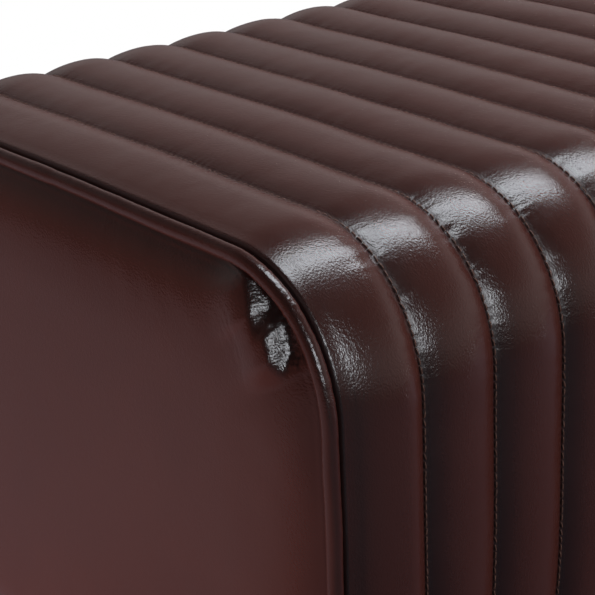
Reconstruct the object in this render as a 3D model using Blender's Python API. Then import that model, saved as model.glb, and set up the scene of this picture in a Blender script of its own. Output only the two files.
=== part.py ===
"""Leather bench: a channel-quilted cover with piped ends over a padded timber box on turned legs.

Lengths are in metres. X runs along the bench, the front faces -Y and the floor is at Z = 0.
"""

import math

import bmesh
import bpy

# Channels of the quilted cover
CHANNEL_COUNT = 24
CHANNEL_PITCH = 0.050
END_CHANNEL_WIDTH = 0.0563
CHANNEL_RELIEF = 0.008
CHANNEL_FACETS = 3

# Body, measured at the seams between the channels
SEAM_DEPTH = 0.497
SEAM_HEIGHT = 0.446
UNDERSIDE_HEIGHT = 0.104
EDGE_RADIUS = 0.081
EDGE_FACETS = 5
TOP_CROWN = 0.004
SIDE_TUCK = 0.018
END_TUCK = 0.007

# Leather, piping and padding
COVER_BACK = 0.003
FLAP_WIDTH = 0.030
SKIN_THICKNESS = 0.0025
END_CROWN = 0.008
CROWN_RINGS = (1.0, 0.93, 0.80, 0.58, 0.30)
PIPING_DIAMETER = 0.0088
PIPING_FACETS = 8
END_PADDING = 0.015
SEAT_FOAM_DEPTH = 0.085
SIDE_FOAM_EDGE = 0.005

# Timber box
BOARD_THICKNESS = 0.015
RABBET_DEPTH = 0.0075
DECK_THICKNESS = 0.015
BREATHER_COUNT = 5
BREATHER_DIAMETER = 0.030
BREATHER_SIDES = 16
BREATHER_SPACING = 0.190
BRACE_COUNT = 2
BRACE_THICKNESS = 0.018
BRACE_GROOVE = 0.005
POST_WIDTH = 0.035
LEG_BLOCK_WIDTH = 0.080
LEG_BLOCK_HEIGHT = 0.030

# Legs and their fittings
LEG_TOP_DIAMETER = 0.052
LEG_FOOT_DIAMETER = 0.032
LEG_EDGE = 0.002
LEG_SIDES = 24
PLATE_WIDTH = 0.060
PLATE_THICKNESS = 0.0025
PLATE_CORNER = 0.006
PLATE_CORNER_FACETS = 4
PLATE_SCREW_HOLE = 0.005
PLATE_SCREW_SPACING = 0.044
BARREL_DIAMETER = 0.015
BARREL_HEIGHT = 0.010
BARREL_SIDES = 16
BOLT_DIAMETER = 0.008
BOLT_IN_LEG = 0.038
BOLT_IN_BLOCK = 0.024
BOLT_TIP = 0.006
BOLT_SIDES = 12
GLIDE_DIAMETER = 0.024
GLIDE_HEIGHT = 0.005
GLIDE_EDGE = 0.0015
NAIL_DIAMETER = 0.0026
NAIL_LENGTH = 0.014

# Dust cover
DUST_COVER_THICKNESS = 0.0008
DUST_COVER_INSET = 0.010

# Clearance left between pieces that touch
GAP = 0.0003

# Places worked out from the sizes above
HALF_LENGTH = END_CHANNEL_WIDTH + CHANNEL_PITCH * (CHANNEL_COUNT - 2) / 2
FIRST_SEAM = HALF_LENGTH - END_CHANNEL_WIDTH
PIPING_RADIUS = PIPING_DIAMETER / 2
COVER_EDGE = HALF_LENGTH - PIPING_RADIUS - GAP
SEAM_HALF = SEAM_DEPTH / 2
SHOULDER_HEIGHT = SEAM_HEIGHT - EDGE_RADIUS
FLAP_EDGE = SEAM_HALF - SIDE_TUCK - FLAP_WIDTH
END_INSET = END_TUCK + max(COVER_BACK, PIPING_RADIUS) + GAP
FRAME_BOTTOM = UNDERSIDE_HEIGHT + COVER_BACK + GAP
BOARD_FACE = SEAM_HALF - SIDE_TUCK - END_TUCK - COVER_BACK - SIDE_FOAM_EDGE
BOARD_BACK = BOARD_FACE - BOARD_THICKNESS
END_FACE = HALF_LENGTH - END_PADDING
END_BACK = END_FACE - BOARD_THICKNESS
DECK_TOP = SEAM_HEIGHT - COVER_BACK - SEAT_FOAM_DEPTH
DECK_BOTTOM = DECK_TOP - DECK_THICKNESS
BOARD_TOP = DECK_BOTTOM - GAP
BLOCK_TOP = FRAME_BOTTOM + LEG_BLOCK_HEIGHT
PLATE_TOP = FRAME_BOTTOM - GAP
LEG_TOP = PLATE_TOP - PLATE_THICKNESS - GAP
LEG_X = END_BACK - GAP - LEG_BLOCK_WIDTH / 2
LEG_Y = BOARD_BACK - GAP - LEG_BLOCK_WIDTH / 2

CORNERS = {
    "front_left": (-1, -1),
    "front_right": (1, -1),
    "back_left": (-1, 1),
    "back_right": (1, 1),
}
SIDES = {"front": -1, "back": 1}
ENDS = {"left": -1, "right": 1}


def clear_scene():
    """Remove every object that the file starts with."""
    for item in list(bpy.data.objects):
        bpy.data.objects.remove(item, do_unlink=True)


def finish(name, colour, roughness, metallic=0.0):
    """Make one material from a linear colour, a roughness and a metallic value."""
    material = bpy.data.materials.new(name)
    material.use_nodes = True
    shader = material.node_tree.nodes["Principled BSDF"]
    shader.inputs["Base Color"].default_value = (*colour, 1.0)
    shader.inputs["Roughness"].default_value = roughness
    shader.inputs["Metallic"].default_value = metallic
    material.diffuse_color = (*colour, 1.0)
    return material


def place(name, data, material, parent, location=(0.0, 0.0, 0.0)):
    """Add one named object to the scene at its place under the bench."""
    item = bpy.data.objects.new(name, data)
    bpy.context.scene.collection.objects.link(item)
    item.location = location
    item.parent = parent
    if not data.materials:
        data.materials.append(material)
    return item


def closed_mesh(name, shape, smooth_angle=None):
    """Turn an edited shape into a mesh whose faces point out."""
    bmesh.ops.recalc_face_normals(shape, faces=shape.faces)
    mesh = bpy.data.meshes.new(name)
    shape.to_mesh(mesh)
    shape.free()
    if smooth_angle is not None:
        mesh.shade_smooth()
        mesh.set_sharp_from_angle(angle=math.radians(smooth_angle))
    return mesh


def skin_rings(shape, rings):
    """Join rows of points, one row to the next, into a wall round a closed outline."""
    for near, far in zip(rings, rings[1:]):
        for index in range(len(near)):
            after = (index + 1) % len(near)
            shape.faces.new((near[index], near[after], far[after], far[index]))


def lofted(name, stations, smooth_angle=None):
    """Solid through closed (y, z) outlines that stand at given places along the bench."""
    shape = bmesh.new()
    rings = [[shape.verts.new((x, y, z)) for y, z in outline] for x, outline in stations]
    skin_rings(shape, rings)
    shape.faces.new(rings[0])
    shape.faces.new(rings[-1])
    return closed_mesh(name, shape, smooth_angle)


def extruded(name, outline, bottom, top):
    """Solid with a closed (x, y) outline, between two heights."""
    shape = bmesh.new()
    rings = [[shape.verts.new((x, y, z)) for x, y in outline] for z in (bottom, top)]
    skin_rings(shape, rings)
    shape.faces.new(rings[0])
    shape.faces.new(rings[-1])
    return closed_mesh(name, shape)


def turned(name, profile, sides):
    """Solid turned about Z from a (radius, z) profile that starts and ends on the axis."""
    shape = bmesh.new()
    verts = [shape.verts.new((radius, 0.0, z)) for radius, z in profile]
    edges = [shape.edges.new(pair) for pair in zip(verts, verts[1:])]
    bmesh.ops.spin(
        shape,
        geom=verts + edges,
        cent=(0.0, 0.0, 0.0),
        axis=(0.0, 0.0, 1.0),
        angle=math.tau,
        steps=sides,
        use_merge=True,
    )
    bmesh.ops.remove_doubles(shape, verts=shape.verts, dist=GAP / 10)
    return closed_mesh(name, shape, smooth_angle=40)


def rectangle(half_x, half_y):
    """Outline of a rectangle about the origin."""
    return [(-half_x, -half_y), (half_x, -half_y), (half_x, half_y), (-half_x, half_y)]


def cylinders(name, centres, diameter, bottom, top, sides):
    """One mesh of upright cylinders, used as a cutter or as a boss."""
    shape = bmesh.new()
    for x, y in centres:
        made = bmesh.ops.create_cone(
            shape,
            cap_ends=True,
            segments=sides,
            radius1=diameter / 2,
            radius2=diameter / 2,
            depth=top - bottom,
        )
        bmesh.ops.translate(shape, verts=made["verts"], vec=(x, y, (bottom + top) / 2))
    return closed_mesh(name, shape)


def tool(name, mesh, parent, location=(0.0, 0.0, 0.0)):
    """A hidden object that only shapes another one."""
    item = bpy.data.objects.new(name, mesh)
    bpy.context.scene.collection.objects.link(item)
    item.location = location
    item.parent = parent
    item.hide_render = True
    item.display_type = "WIRE"
    return item


def combine(item, other, operation):
    """Join another shape to an object, or cut it out."""
    modifier = item.modifiers.new(operation.lower(), "BOOLEAN")
    modifier.object = other
    modifier.operation = operation
    modifier.solver = "EXACT"


def end_tuck(x):
    """Inward pull of the cover between its last seam and the piped edge."""
    reach = max(0.0, abs(x) - FIRST_SEAM)
    return END_TUCK * reach / END_CHANNEL_WIDTH


def half_section(offset, floor):
    """Points (outward, z) of the body at an offset from its seams, from the floor to the middle."""
    fall = (SHOULDER_HEIGHT - floor) / (SHOULDER_HEIGHT - UNDERSIDE_HEIGHT)
    points = [(SEAM_HALF - SIDE_TUCK * fall + offset, floor)]
    radius = EDGE_RADIUS + offset
    for step in range(EDGE_FACETS + 1):
        angle = math.pi / 2 * step / EDGE_FACETS
        outward = SEAM_HALF - EDGE_RADIUS + radius * math.cos(angle)
        points.append((outward, SHOULDER_HEIGHT + radius * math.sin(angle)))
    points.append((0.0, SEAM_HEIGHT + TOP_CROWN + offset))
    return points


def arch(points):
    """Whole (y, z) line over the body, front to back, from points of one half."""
    front = [(-outward, z) for outward, z in points]
    return front + points[-2::-1]


def split(points, level):
    """Parts of a rising line below and above a height, each with the point at that height."""
    below = [point for point in points if point[1] < level]
    above = [point for point in points if point[1] > level]
    low, high = below[-1], above[0]
    share = (level - low[1]) / (high[1] - low[1])
    cut = (low[0] + share * (high[0] - low[0]), level)
    return below + [cut], [cut] + above


def channel_columns():
    """Places along the bench that draw the channels, each with its rise above the seams."""
    highest = math.sin(math.pi * (CHANNEL_FACETS // 2) / CHANNEL_FACETS)
    seams = [-COVER_EDGE]
    seams += [-FIRST_SEAM + CHANNEL_PITCH * index for index in range(CHANNEL_COUNT - 1)]
    seams += [COVER_EDGE]
    columns = [(seams[0], 0.0)]
    for start, end in zip(seams, seams[1:]):
        for step in range(1, CHANNEL_FACETS + 1):
            share = step / CHANNEL_FACETS
            rise = CHANNEL_RELIEF * math.sin(math.pi * share) / highest
            columns.append((start + share * (end - start), rise))
    return columns


def build_channel_cover():
    """Quilted sheet over the top and long sides, its lower edges turned under the box."""
    shape = bmesh.new()
    lining_floor = UNDERSIDE_HEIGHT + COVER_BACK
    stations = (-COVER_EDGE, -FIRST_SEAM, FIRST_SEAM, COVER_EDGE)
    face = []
    for x, rise in channel_columns():
        line = arch(half_section(rise - end_tuck(x), UNDERSIDE_HEIGHT))
        face.append([shape.verts.new((x, y, z)) for y, z in line])
    lining = []
    hems = []
    for x in stations:
        line = arch(half_section(-COVER_BACK - end_tuck(x), lining_floor))
        line = [(-FLAP_EDGE, lining_floor)] + line + [(FLAP_EDGE, lining_floor)]
        lining.append([shape.verts.new((x, y, z)) for y, z in line])
        hems.append([shape.verts.new((x, y, UNDERSIDE_HEIGHT)) for y in (-FLAP_EDGE, FLAP_EDGE)])
    for grid in (face, lining):
        for near, far in zip(grid, grid[1:]):
            for index in range(len(near) - 1):
                shape.faces.new((near[index], near[index + 1], far[index + 1], far[index]))
    for side, edge in ((0, 0), (1, -1)):
        hem = [pair[side] for pair in hems]
        fold = [column[edge] for column in face]
        shape.faces.new(hem + fold[::-1])
        for index in range(len(stations) - 1):
            inner = (lining[index + 1][edge], lining[index][edge])
            shape.faces.new((hem[index], hem[index + 1], *inner))
    for end in (0, -1):
        outer = [hems[end][0], *face[end], hems[end][1]]
        inner = lining[end]
        for index in range(len(outer) - 1):
            shape.faces.new((outer[index], outer[index + 1], inner[index + 1], inner[index]))
    return closed_mesh("channel_cover", shape, smooth_angle=50)


def end_outline(floor):
    """Closed (y, z) outline of what fills a piped end."""
    return arch(half_section(-END_INSET, floor))


def crowned_rings(shape, side, base, outline):
    """Rows of points from the rim of an end to near its middle, rising outward along the bench."""
    middle = (UNDERSIDE_HEIGHT + SEAM_HEIGHT) / 2
    rings = []
    for share in CROWN_RINGS:
        x = side * (base + END_CROWN * (1.0 - share**2))
        ring = [(x, y * share, middle + (z - middle) * share) for y, z in outline]
        rings.append([shape.verts.new(point) for point in ring])
    return rings


def build_end_panel(name, side):
    """Crowned leather panel that closes one end inside its piping."""
    shape = bmesh.new()
    outline = end_outline(UNDERSIDE_HEIGHT)
    face = crowned_rings(shape, side, HALF_LENGTH, outline)
    back = crowned_rings(shape, side, HALF_LENGTH - SKIN_THICKNESS, outline)
    skin_rings(shape, back[::-1] + face)
    shape.faces.new(face[-1])
    shape.faces.new(back[-1])
    return closed_mesh(name, shape, smooth_angle=50)


def build_end_pad(name, side):
    """Foam pad between an end board and its leather panel, standing on the cover's turned edges."""
    shape = bmesh.new()
    outline = end_outline(FRAME_BOTTOM)
    face = crowned_rings(shape, side, HALF_LENGTH - SKIN_THICKNESS - GAP, outline)
    back = [shape.verts.new((side * (END_FACE + GAP), y, z)) for y, z in outline]
    skin_rings(shape, [back] + face)
    shape.faces.new(face[-1])
    shape.faces.new(back)
    return closed_mesh(name, shape, smooth_angle=50)


def build_piping(name, side):
    """Round welt that follows the rim of one end and stops level with the underside."""
    curve = bpy.data.curves.new(name, "CURVE")
    curve.dimensions = "3D"
    curve.bevel_depth = PIPING_RADIUS
    curve.bevel_resolution = PIPING_FACETS // 2 - 2
    curve.use_fill_caps = True
    line = arch(half_section(-END_TUCK, UNDERSIDE_HEIGHT))
    spline = curve.splines.new("POLY")
    spline.points.add(len(line) - 1)
    for point, (y, z) in zip(spline.points, line):
        point.co = (side * HALF_LENGTH, y, z, 1.0)
    return curve


def build_seat_foam():
    """Foam block on the deck, rounded over under the cover."""
    stations = []
    for x in (-END_FACE, -FIRST_SEAM, FIRST_SEAM, END_FACE):
        half = half_section(-COVER_BACK - GAP - end_tuck(x), FRAME_BOTTOM)
        stations.append((x, arch(split(half, DECK_TOP + GAP)[1])))
    return lofted("seat_foam", stations, smooth_angle=35)


def build_side_foam(name, side):
    """Foam slab between a long board and the cover, thinning towards the underside."""
    stations = []
    for x in (-END_FACE, -FIRST_SEAM, FIRST_SEAM, END_FACE):
        half = half_section(-COVER_BACK - GAP - end_tuck(x), FRAME_BOTTOM)
        line = split(half, DECK_TOP)[0]
        inner = BOARD_FACE + GAP
        outline = [(inner, FRAME_BOTTOM)] + line + [(inner, DECK_TOP)]
        stations.append((x, [(side * outward, z) for outward, z in outline]))
    return lofted(name, stations)


def brace_places():
    """Places of the cross braces, evenly spaced between the end boards."""
    step = 2.0 * END_BACK / (BRACE_COUNT + 1)
    return [-END_BACK + step * (index + 1) for index in range(BRACE_COUNT)]


def build_long_board(name, side):
    """Long board, rabbeted for the end boards and grooved for the braces."""
    rabbet = BOARD_BACK + RABBET_DEPTH
    groove = BOARD_BACK + BRACE_GROOVE
    lap = END_BACK - GAP
    half_groove = BRACE_THICKNESS / 2 + GAP
    outline = [(-END_FACE, BOARD_FACE), (-END_FACE, rabbet), (-lap, rabbet), (-lap, BOARD_BACK)]
    for x in brace_places():
        outline += [(x - half_groove, BOARD_BACK), (x - half_groove, groove)]
        outline += [(x + half_groove, groove), (x + half_groove, BOARD_BACK)]
    outline += [(lap, BOARD_BACK), (lap, rabbet), (END_FACE, rabbet), (END_FACE, BOARD_FACE)]
    outline = [(x, side * y) for x, y in outline]
    return extruded(name, outline, FRAME_BOTTOM, BOARD_TOP)


def build_end_board(name, side):
    """End board, held in the rabbets of the long boards."""
    half = BOARD_BACK + RABBET_DEPTH - GAP
    middle = side * (END_FACE + END_BACK) / 2
    outline = [(middle + x, y) for x, y in rectangle(BOARD_THICKNESS / 2, half)]
    return extruded(name, outline, FRAME_BOTTOM, BOARD_TOP)


def build_brace(name, x):
    """Cross brace, let into the grooves of the long boards."""
    half = BOARD_BACK + BRACE_GROOVE - GAP
    outline = [(x + along, y) for along, y in rectangle(BRACE_THICKNESS / 2, half)]
    return extruded(name, outline, FRAME_BOTTOM, BOARD_TOP)


def leg_profile():
    """Tapered leg with a blind bolt hole in its top and a nail hole in its foot."""
    foot = GLIDE_HEIGHT + GAP
    top_radius = LEG_TOP_DIAMETER / 2
    foot_radius = LEG_FOOT_DIAMETER / 2
    bolt_hole = BOLT_DIAMETER / 2 + GAP
    bolt_floor = LEG_TOP - BOLT_IN_LEG - GAP
    nail_hole = NAIL_DIAMETER / 2 + GAP
    nail_top = GLIDE_HEIGHT + NAIL_LENGTH + GAP
    return [
        (0.0, bolt_floor),
        (bolt_hole, bolt_floor + BOLT_TIP),
        (bolt_hole, LEG_TOP),
        (top_radius - LEG_EDGE, LEG_TOP),
        (top_radius, LEG_TOP - LEG_EDGE),
        (foot_radius, foot + LEG_EDGE),
        (foot_radius - LEG_EDGE, foot),
        (nail_hole, foot),
        (nail_hole, nail_top),
        (0.0, nail_top),
    ]


def bolt_profile():
    """Hanger bolt with a pointed wood end below and a square-cut machine end above."""
    radius = BOLT_DIAMETER / 2
    bottom = LEG_TOP - BOLT_IN_LEG
    top = FRAME_BOTTOM + BOLT_IN_BLOCK
    return [(0.0, top), (radius, top), (radius, bottom + BOLT_TIP), (0.0, bottom)]


def glide_profile():
    """Flat round glide with a nail."""
    radius = GLIDE_DIAMETER / 2
    nail = NAIL_DIAMETER / 2
    return [
        (0.0, GLIDE_HEIGHT + NAIL_LENGTH),
        (nail, GLIDE_HEIGHT + NAIL_LENGTH - NAIL_DIAMETER),
        (nail, GLIDE_HEIGHT),
        (radius, GLIDE_HEIGHT),
        (radius, GLIDE_EDGE),
        (radius - GLIDE_EDGE, 0.0),
        (0.0, 0.0),
    ]


def rounded_square(width, corner):
    """Outline of a square about the origin with its corners cut round."""
    reach = width / 2 - corner
    outline = []
    for turn, (x, y) in enumerate(((1, 1), (-1, 1), (-1, -1), (1, -1))):
        for step in range(PLATE_CORNER_FACETS + 1):
            angle = math.pi / 2 * (turn + step / PLATE_CORNER_FACETS)
            along = x * reach + corner * math.cos(angle)
            outline.append((along, y * reach + corner * math.sin(angle)))
    return outline


def build_covering(parent):
    """Leather cover, end panels and piping."""
    leather = finish("brown_leather", (0.045, 0.018, 0.015), 0.36)
    place("channel_cover", build_channel_cover(), leather, parent)
    for end, side in ENDS.items():
        place(f"{end}_end_panel", build_end_panel(f"{end}_end_panel", side), leather, parent)
        place(f"{end}_piping", build_piping(f"{end}_piping", side), leather, parent)


def build_padding(parent):
    """Foam under the leather."""
    foam = finish("cream_foam", (0.75, 0.66, 0.45), 0.95)
    place("seat_foam", build_seat_foam(), foam, parent)
    for name, side in SIDES.items():
        place(f"{name}_foam", build_side_foam(f"{name}_foam", side), foam, parent)
    for end, side in ENDS.items():
        place(f"{end}_end_pad", build_end_pad(f"{end}_end_pad", side), foam, parent)


def build_box(parent):
    """Plywood box, deck, braces and corner battens."""
    plywood = finish("birch_plywood", (0.60, 0.42, 0.24), 0.65)
    softwood = finish("softwood", (0.66, 0.47, 0.27), 0.70)
    board = extruded("seat_deck", rectangle(END_FACE, BOARD_FACE), DECK_BOTTOM, DECK_TOP)
    deck = place("seat_deck", board, plywood, parent)
    middle = (BREATHER_COUNT - 1) / 2
    centres = [((index - middle) * BREATHER_SPACING, 0.0) for index in range(BREATHER_COUNT)]
    past = DECK_TOP + DECK_THICKNESS
    holes = cylinders("breathers", centres, BREATHER_DIAMETER, BOARD_TOP, past, BREATHER_SIDES)
    combine(deck, tool("breathers", holes, parent), "DIFFERENCE")
    for name, side in SIDES.items():
        place(f"{name}_board", build_long_board(f"{name}_board", side), plywood, parent)
    for end, side in ENDS.items():
        place(f"{end}_board", build_end_board(f"{end}_board", side), plywood, parent)
    for index, x in enumerate(brace_places(), start=1):
        place(f"cross_brace_{index}", build_brace(f"cross_brace_{index}", x), plywood, parent)
    half = POST_WIDTH / 2
    post = extruded("corner_post", rectangle(half, half), BLOCK_TOP + GAP, BOARD_TOP)
    post_x = END_BACK - GAP - half
    post_y = BOARD_BACK - GAP - half
    for corner, (right, back) in CORNERS.items():
        place(f"corner_post_{corner}", post, softwood, parent, (right * post_x, back * post_y, 0.0))


def build_leg_fittings(parent):
    """Blocks, plates, bolts, legs and glides, the same at each corner."""
    softwood = finish("block_softwood", (0.66, 0.47, 0.27), 0.70)
    steel = finish("zinc_plated_steel", (0.62, 0.63, 0.64), 0.35, 1.0)
    walnut = finish("dark_stained_wood", (0.060, 0.032, 0.020), 0.38)
    nylon = finish("black_nylon", (0.02, 0.02, 0.02), 0.55)
    half_block = LEG_BLOCK_WIDTH / 2
    block = extruded("leg_block", rectangle(half_block, half_block), FRAME_BOTTOM, BLOCK_TOP)
    plate_outline = rounded_square(PLATE_WIDTH, PLATE_CORNER)
    plate = extruded("leg_plate", plate_outline, PLATE_TOP - PLATE_THICKNESS, PLATE_TOP)
    bolt = turned("hanger_bolt", bolt_profile(), BOLT_SIDES)
    leg = turned("leg", leg_profile(), LEG_SIDES)
    glide = turned("glide", glide_profile(), LEG_SIDES)
    centre = [(0.0, 0.0)]
    screw = PLATE_SCREW_SPACING / 2
    barrel_top = PLATE_TOP + BARREL_HEIGHT
    bolt_bore = BOLT_DIAMETER + 2 * GAP
    below = LEG_TOP
    above = BLOCK_TOP + GAP
    seat_bore = BARREL_DIAMETER + 2 * GAP
    seat = cylinders("barrel_seat", centre, seat_bore, below, barrel_top + GAP, BARREL_SIDES)
    block_bore = cylinders("block_bore", centre, bolt_bore, below, above, BOLT_SIDES)
    barrel_low = PLATE_TOP - PLATE_THICKNESS / 2
    barrel = cylinders("barrel", centre, BARREL_DIAMETER, barrel_low, barrel_top, BARREL_SIDES)
    plate_bore = cylinders("plate_bore", centre, bolt_bore, below, above, BOLT_SIDES)
    screw_places = rectangle(screw, screw)
    screw_holes = cylinders("screw_holes", screw_places, PLATE_SCREW_HOLE, below, above, BOLT_SIDES)
    for corner, (right, back) in CORNERS.items():
        spot = (right * LEG_X, back * LEG_Y, 0.0)
        block_item = place(f"leg_block_{corner}", block, softwood, parent, spot)
        combine(block_item, tool(f"barrel_seat_{corner}", seat, parent, spot), "DIFFERENCE")
        combine(block_item, tool(f"block_bore_{corner}", block_bore, parent, spot), "DIFFERENCE")
        plate_item = place(f"leg_plate_{corner}", plate, steel, parent, spot)
        combine(plate_item, tool(f"barrel_{corner}", barrel, parent, spot), "UNION")
        combine(plate_item, tool(f"plate_bore_{corner}", plate_bore, parent, spot), "DIFFERENCE")
        combine(plate_item, tool(f"screw_holes_{corner}", screw_holes, parent, spot), "DIFFERENCE")
        place(f"hanger_bolt_{corner}", bolt, steel, parent, spot)
        place(f"leg_{corner}", leg, walnut, parent, spot)
        place(f"glide_{corner}", glide, nylon, parent, spot)


def build_dust_cover(parent):
    """Thin cloth under the box, cut out round each leg."""
    cloth = finish("black_cloth", (0.015, 0.015, 0.016), 0.95)
    top = UNDERSIDE_HEIGHT - GAP
    bottom = top - DUST_COVER_THICKNESS
    half_y = SEAM_HALF - SIDE_TUCK - DUST_COVER_INSET
    outline = rectangle(HALF_LENGTH - DUST_COVER_INSET, half_y)
    cover = place("dust_cover", extruded("dust_cover", outline, bottom, top), cloth, parent)
    centres = [(right * LEG_X, back * LEG_Y) for right, back in CORNERS.values()]
    hole = LEG_TOP_DIAMETER + 2 * DUST_COVER_THICKNESS
    holes = cylinders("leg_holes", centres, hole, bottom - GLIDE_HEIGHT, LEG_TOP, LEG_SIDES)
    combine(cover, tool("leg_holes", holes, parent), "DIFFERENCE")


def main():
    """Build the whole bench under one empty on the floor."""
    clear_scene()
    bench = bpy.data.objects.new("bench", None)
    bpy.context.scene.collection.objects.link(bench)
    build_covering(bench)
    build_padding(bench)
    build_box(bench)
    build_leg_fittings(bench)
    build_dust_cover(bench)


main()
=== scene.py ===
"""Looks of a channel-quilted leather bench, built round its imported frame.

Lengths are in metres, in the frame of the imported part: X along the bench, -Y the front, Z up.
"""

import math

import bmesh
import bpy
import numpy as np
from bpy.props import FloatProperty, FloatVectorProperty, IntProperty, PointerProperty
from mathutils import Matrix, Vector
from mathutils.bvhtree import BVHTree


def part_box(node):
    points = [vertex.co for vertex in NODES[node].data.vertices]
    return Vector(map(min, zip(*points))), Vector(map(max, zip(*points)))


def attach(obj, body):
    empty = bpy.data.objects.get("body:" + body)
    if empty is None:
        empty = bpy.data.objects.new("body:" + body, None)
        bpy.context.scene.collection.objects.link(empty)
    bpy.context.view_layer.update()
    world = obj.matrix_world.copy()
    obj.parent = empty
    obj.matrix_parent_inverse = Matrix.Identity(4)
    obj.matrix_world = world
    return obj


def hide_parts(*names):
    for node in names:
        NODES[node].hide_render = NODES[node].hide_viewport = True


bl_info = {
    "name": "Channel-quilted leather bench",
    "version": (1, 0, 0),
    "blender": (4, 5, 0),
    "location": "View3D > Sidebar > Bench",
    "description": "Dresses the frame of a leather bench with its cover, seams, piping and finishes",
    "category": "Object",
}

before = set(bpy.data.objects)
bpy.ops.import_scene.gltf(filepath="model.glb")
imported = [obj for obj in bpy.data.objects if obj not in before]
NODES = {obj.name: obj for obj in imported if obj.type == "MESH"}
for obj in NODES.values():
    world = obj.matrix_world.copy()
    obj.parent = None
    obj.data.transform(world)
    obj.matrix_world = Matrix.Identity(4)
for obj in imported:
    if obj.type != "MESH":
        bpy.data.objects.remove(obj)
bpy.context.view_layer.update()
BODY = "root"

COVER_LOW, COVER_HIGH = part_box("channel_cover")
PIPING_LOW, PIPING_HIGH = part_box("right_piping")
DUST_LOW, DUST_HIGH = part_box("dust_cover")
LEG_LOW, LEG_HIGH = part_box("leg_front_left")

CORNERS = ("front_left", "front_right", "back_left", "back_right")
LEG_NODES = tuple(f"leg_{corner}" for corner in CORNERS)
ENDS = {"left": -1, "right": 1}
MM = 0.001


def metres(name, description, default):
    """Property that holds a length in metres."""
    return FloatProperty(name=name, description=description, default=default, unit="LENGTH")


def paint(name, description, default):
    """Property that holds a colour."""
    return FloatVectorProperty(name=name, description=description, default=default, subtype="COLOR")


class QuiltSizes(bpy.types.PropertyGroup):
    """Sizes of the quilted cover and of the body under it."""

    channels: IntProperty(name="Channels", description="Padded channels along the bench", default=24, min=3)
    pitch: metres("Pitch", "Distance between two seams", 0.050)
    relief: metres("Relief on top", "Rise of a channel above its seams on the seat", 0.0052)
    side_relief: metres("Relief on the sides", "Rise of a channel above its seams on the long sides", 0.0086)
    edge_radius: metres("Edge radius", "Radius of the soft edge between seat and side, at the seams", 0.081)
    crown: metres("Seat crown", "Rise of the seat at its middle", 0.0014)
    side_tuck: metres("Side tuck", "Lean of the sides towards the underside", 0.018)
    end_tuck: metres("End tuck", "Pull of the cover towards the piping", 0.007)
    flap: metres("Flap", "Width of the edge turned under the box", 0.030)
    fold_radius: metres("Fold radius", "Radius of the fold along the underside", 0.008)
    pucker: metres("Pucker", "Height of the small folds beside the seams", 0.00046)
    stitch_pitch: metres("Stitch pitch", "Distance between two stitches", 0.0048)
    stitch_length: metres("Stitch length", "Visible length of one stitch", 0.0040)
    thread: metres("Thread", "Diameter of the sewing thread", 0.0010)


class BenchFinishes(bpy.types.PropertyGroup):
    """Colours of the bench."""

    leather: paint("Leather", "Colour of the leather", (0.066, 0.0168, 0.0125))
    # Darker colour used for the leather's random darker tone and for painted shade in the seams, on the
    # piping and at the panel rims.
    leather_deep_and_shade: paint("Darker leather and painted shade", "Colour of the darker leather", (0.040, 0.0092, 0.0070))
    thread: paint("Thread", "Colour of the thread", (0.150, 0.074, 0.056))
    foam: paint("Foam", "Colour of the foam", (0.75, 0.66, 0.45))
    plywood: paint("Plywood", "Colour of the plywood", (0.60, 0.42, 0.24))
    softwood: paint("Softwood", "Colour of the battens", (0.66, 0.47, 0.27))
    cloth: paint("Underside cloth", "Colour of the underside cloth", (0.015, 0.015, 0.016))
    leg: paint("Leg", "Colour of the stained legs", (0.060, 0.032, 0.020))
    floor: paint("Floor", "Colour of the studio floor", (0.72, 0.72, 0.72))


# Helpers for meshes


def add_piece(name, mesh, material, slot, *nodes):
    """Put a mesh in the scene as a piece of the bench that stands for CAD nodes."""
    piece = bpy.data.objects.new(name, mesh)
    bpy.context.scene.collection.objects.link(piece)
    if material is not None:
        mesh.materials.append(material)
    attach(piece, BODY)
    if nodes:
        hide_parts(*nodes)
    return piece


def mesh_from(name, points, faces, smooth=True):
    """Mesh from points and faces."""
    mesh = bpy.data.meshes.new(name)
    mesh.from_pydata(np.asarray(points).tolist(), [], faces)
    mesh.update()
    if smooth:
        mesh.shade_smooth()
    return mesh


def point_values(mesh, name, values):
    """Keep one number for each point of a mesh, for its material to read."""
    layer = mesh.attributes.new(name, "FLOAT", "POINT")
    layer.data.foreach_set("value", np.asarray(values, np.float32).ravel())


def points_of(mesh):
    """Points of a mesh as an array."""
    points = np.empty(len(mesh.vertices) * 3, np.float32)
    mesh.vertices.foreach_get("co", points)
    return points.reshape(-1, 3).astype(float)


def set_points(mesh, points):
    """Move the points of a mesh."""
    mesh.vertices.foreach_set("co", np.asarray(points, np.float32).ravel())
    mesh.update()


def shaped(mesh, *modifiers):
    """New mesh made by running modifiers, each a (type, settings) pair, on a mesh."""
    helper = bpy.data.objects.new("helper", mesh)
    bpy.context.scene.collection.objects.link(helper)
    for kind, settings in modifiers:
        modifier = helper.modifiers.new(kind, kind)
        for key, value in settings.items():
            setattr(modifier, key, value)
    bpy.context.view_layer.update()
    made = bpy.data.meshes.new_from_object(helper.evaluated_get(bpy.context.evaluated_depsgraph_get()))
    bpy.data.objects.remove(helper)
    return made


def face_outward(mesh):
    """Turn the faces of a closed mesh outward."""
    shape = bmesh.new()
    shape.from_mesh(mesh)
    bmesh.ops.recalc_face_normals(shape, faces=shape.faces)
    shape.to_mesh(mesh)
    shape.free()


def grid_faces(rows, columns, start=0, closed=False):
    """Quads of a grid of points, row by row, closed across its columns or not."""
    row = np.arange(rows - 1)[:, None] * columns
    column = np.arange(columns if closed else columns - 1)[None, :]
    after = (column + 1) % columns
    corners = (row + column, row + after, row + columns + after, row + columns + column)
    return (np.stack(corners, -1).reshape(-1, 4) + start).tolist()


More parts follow.
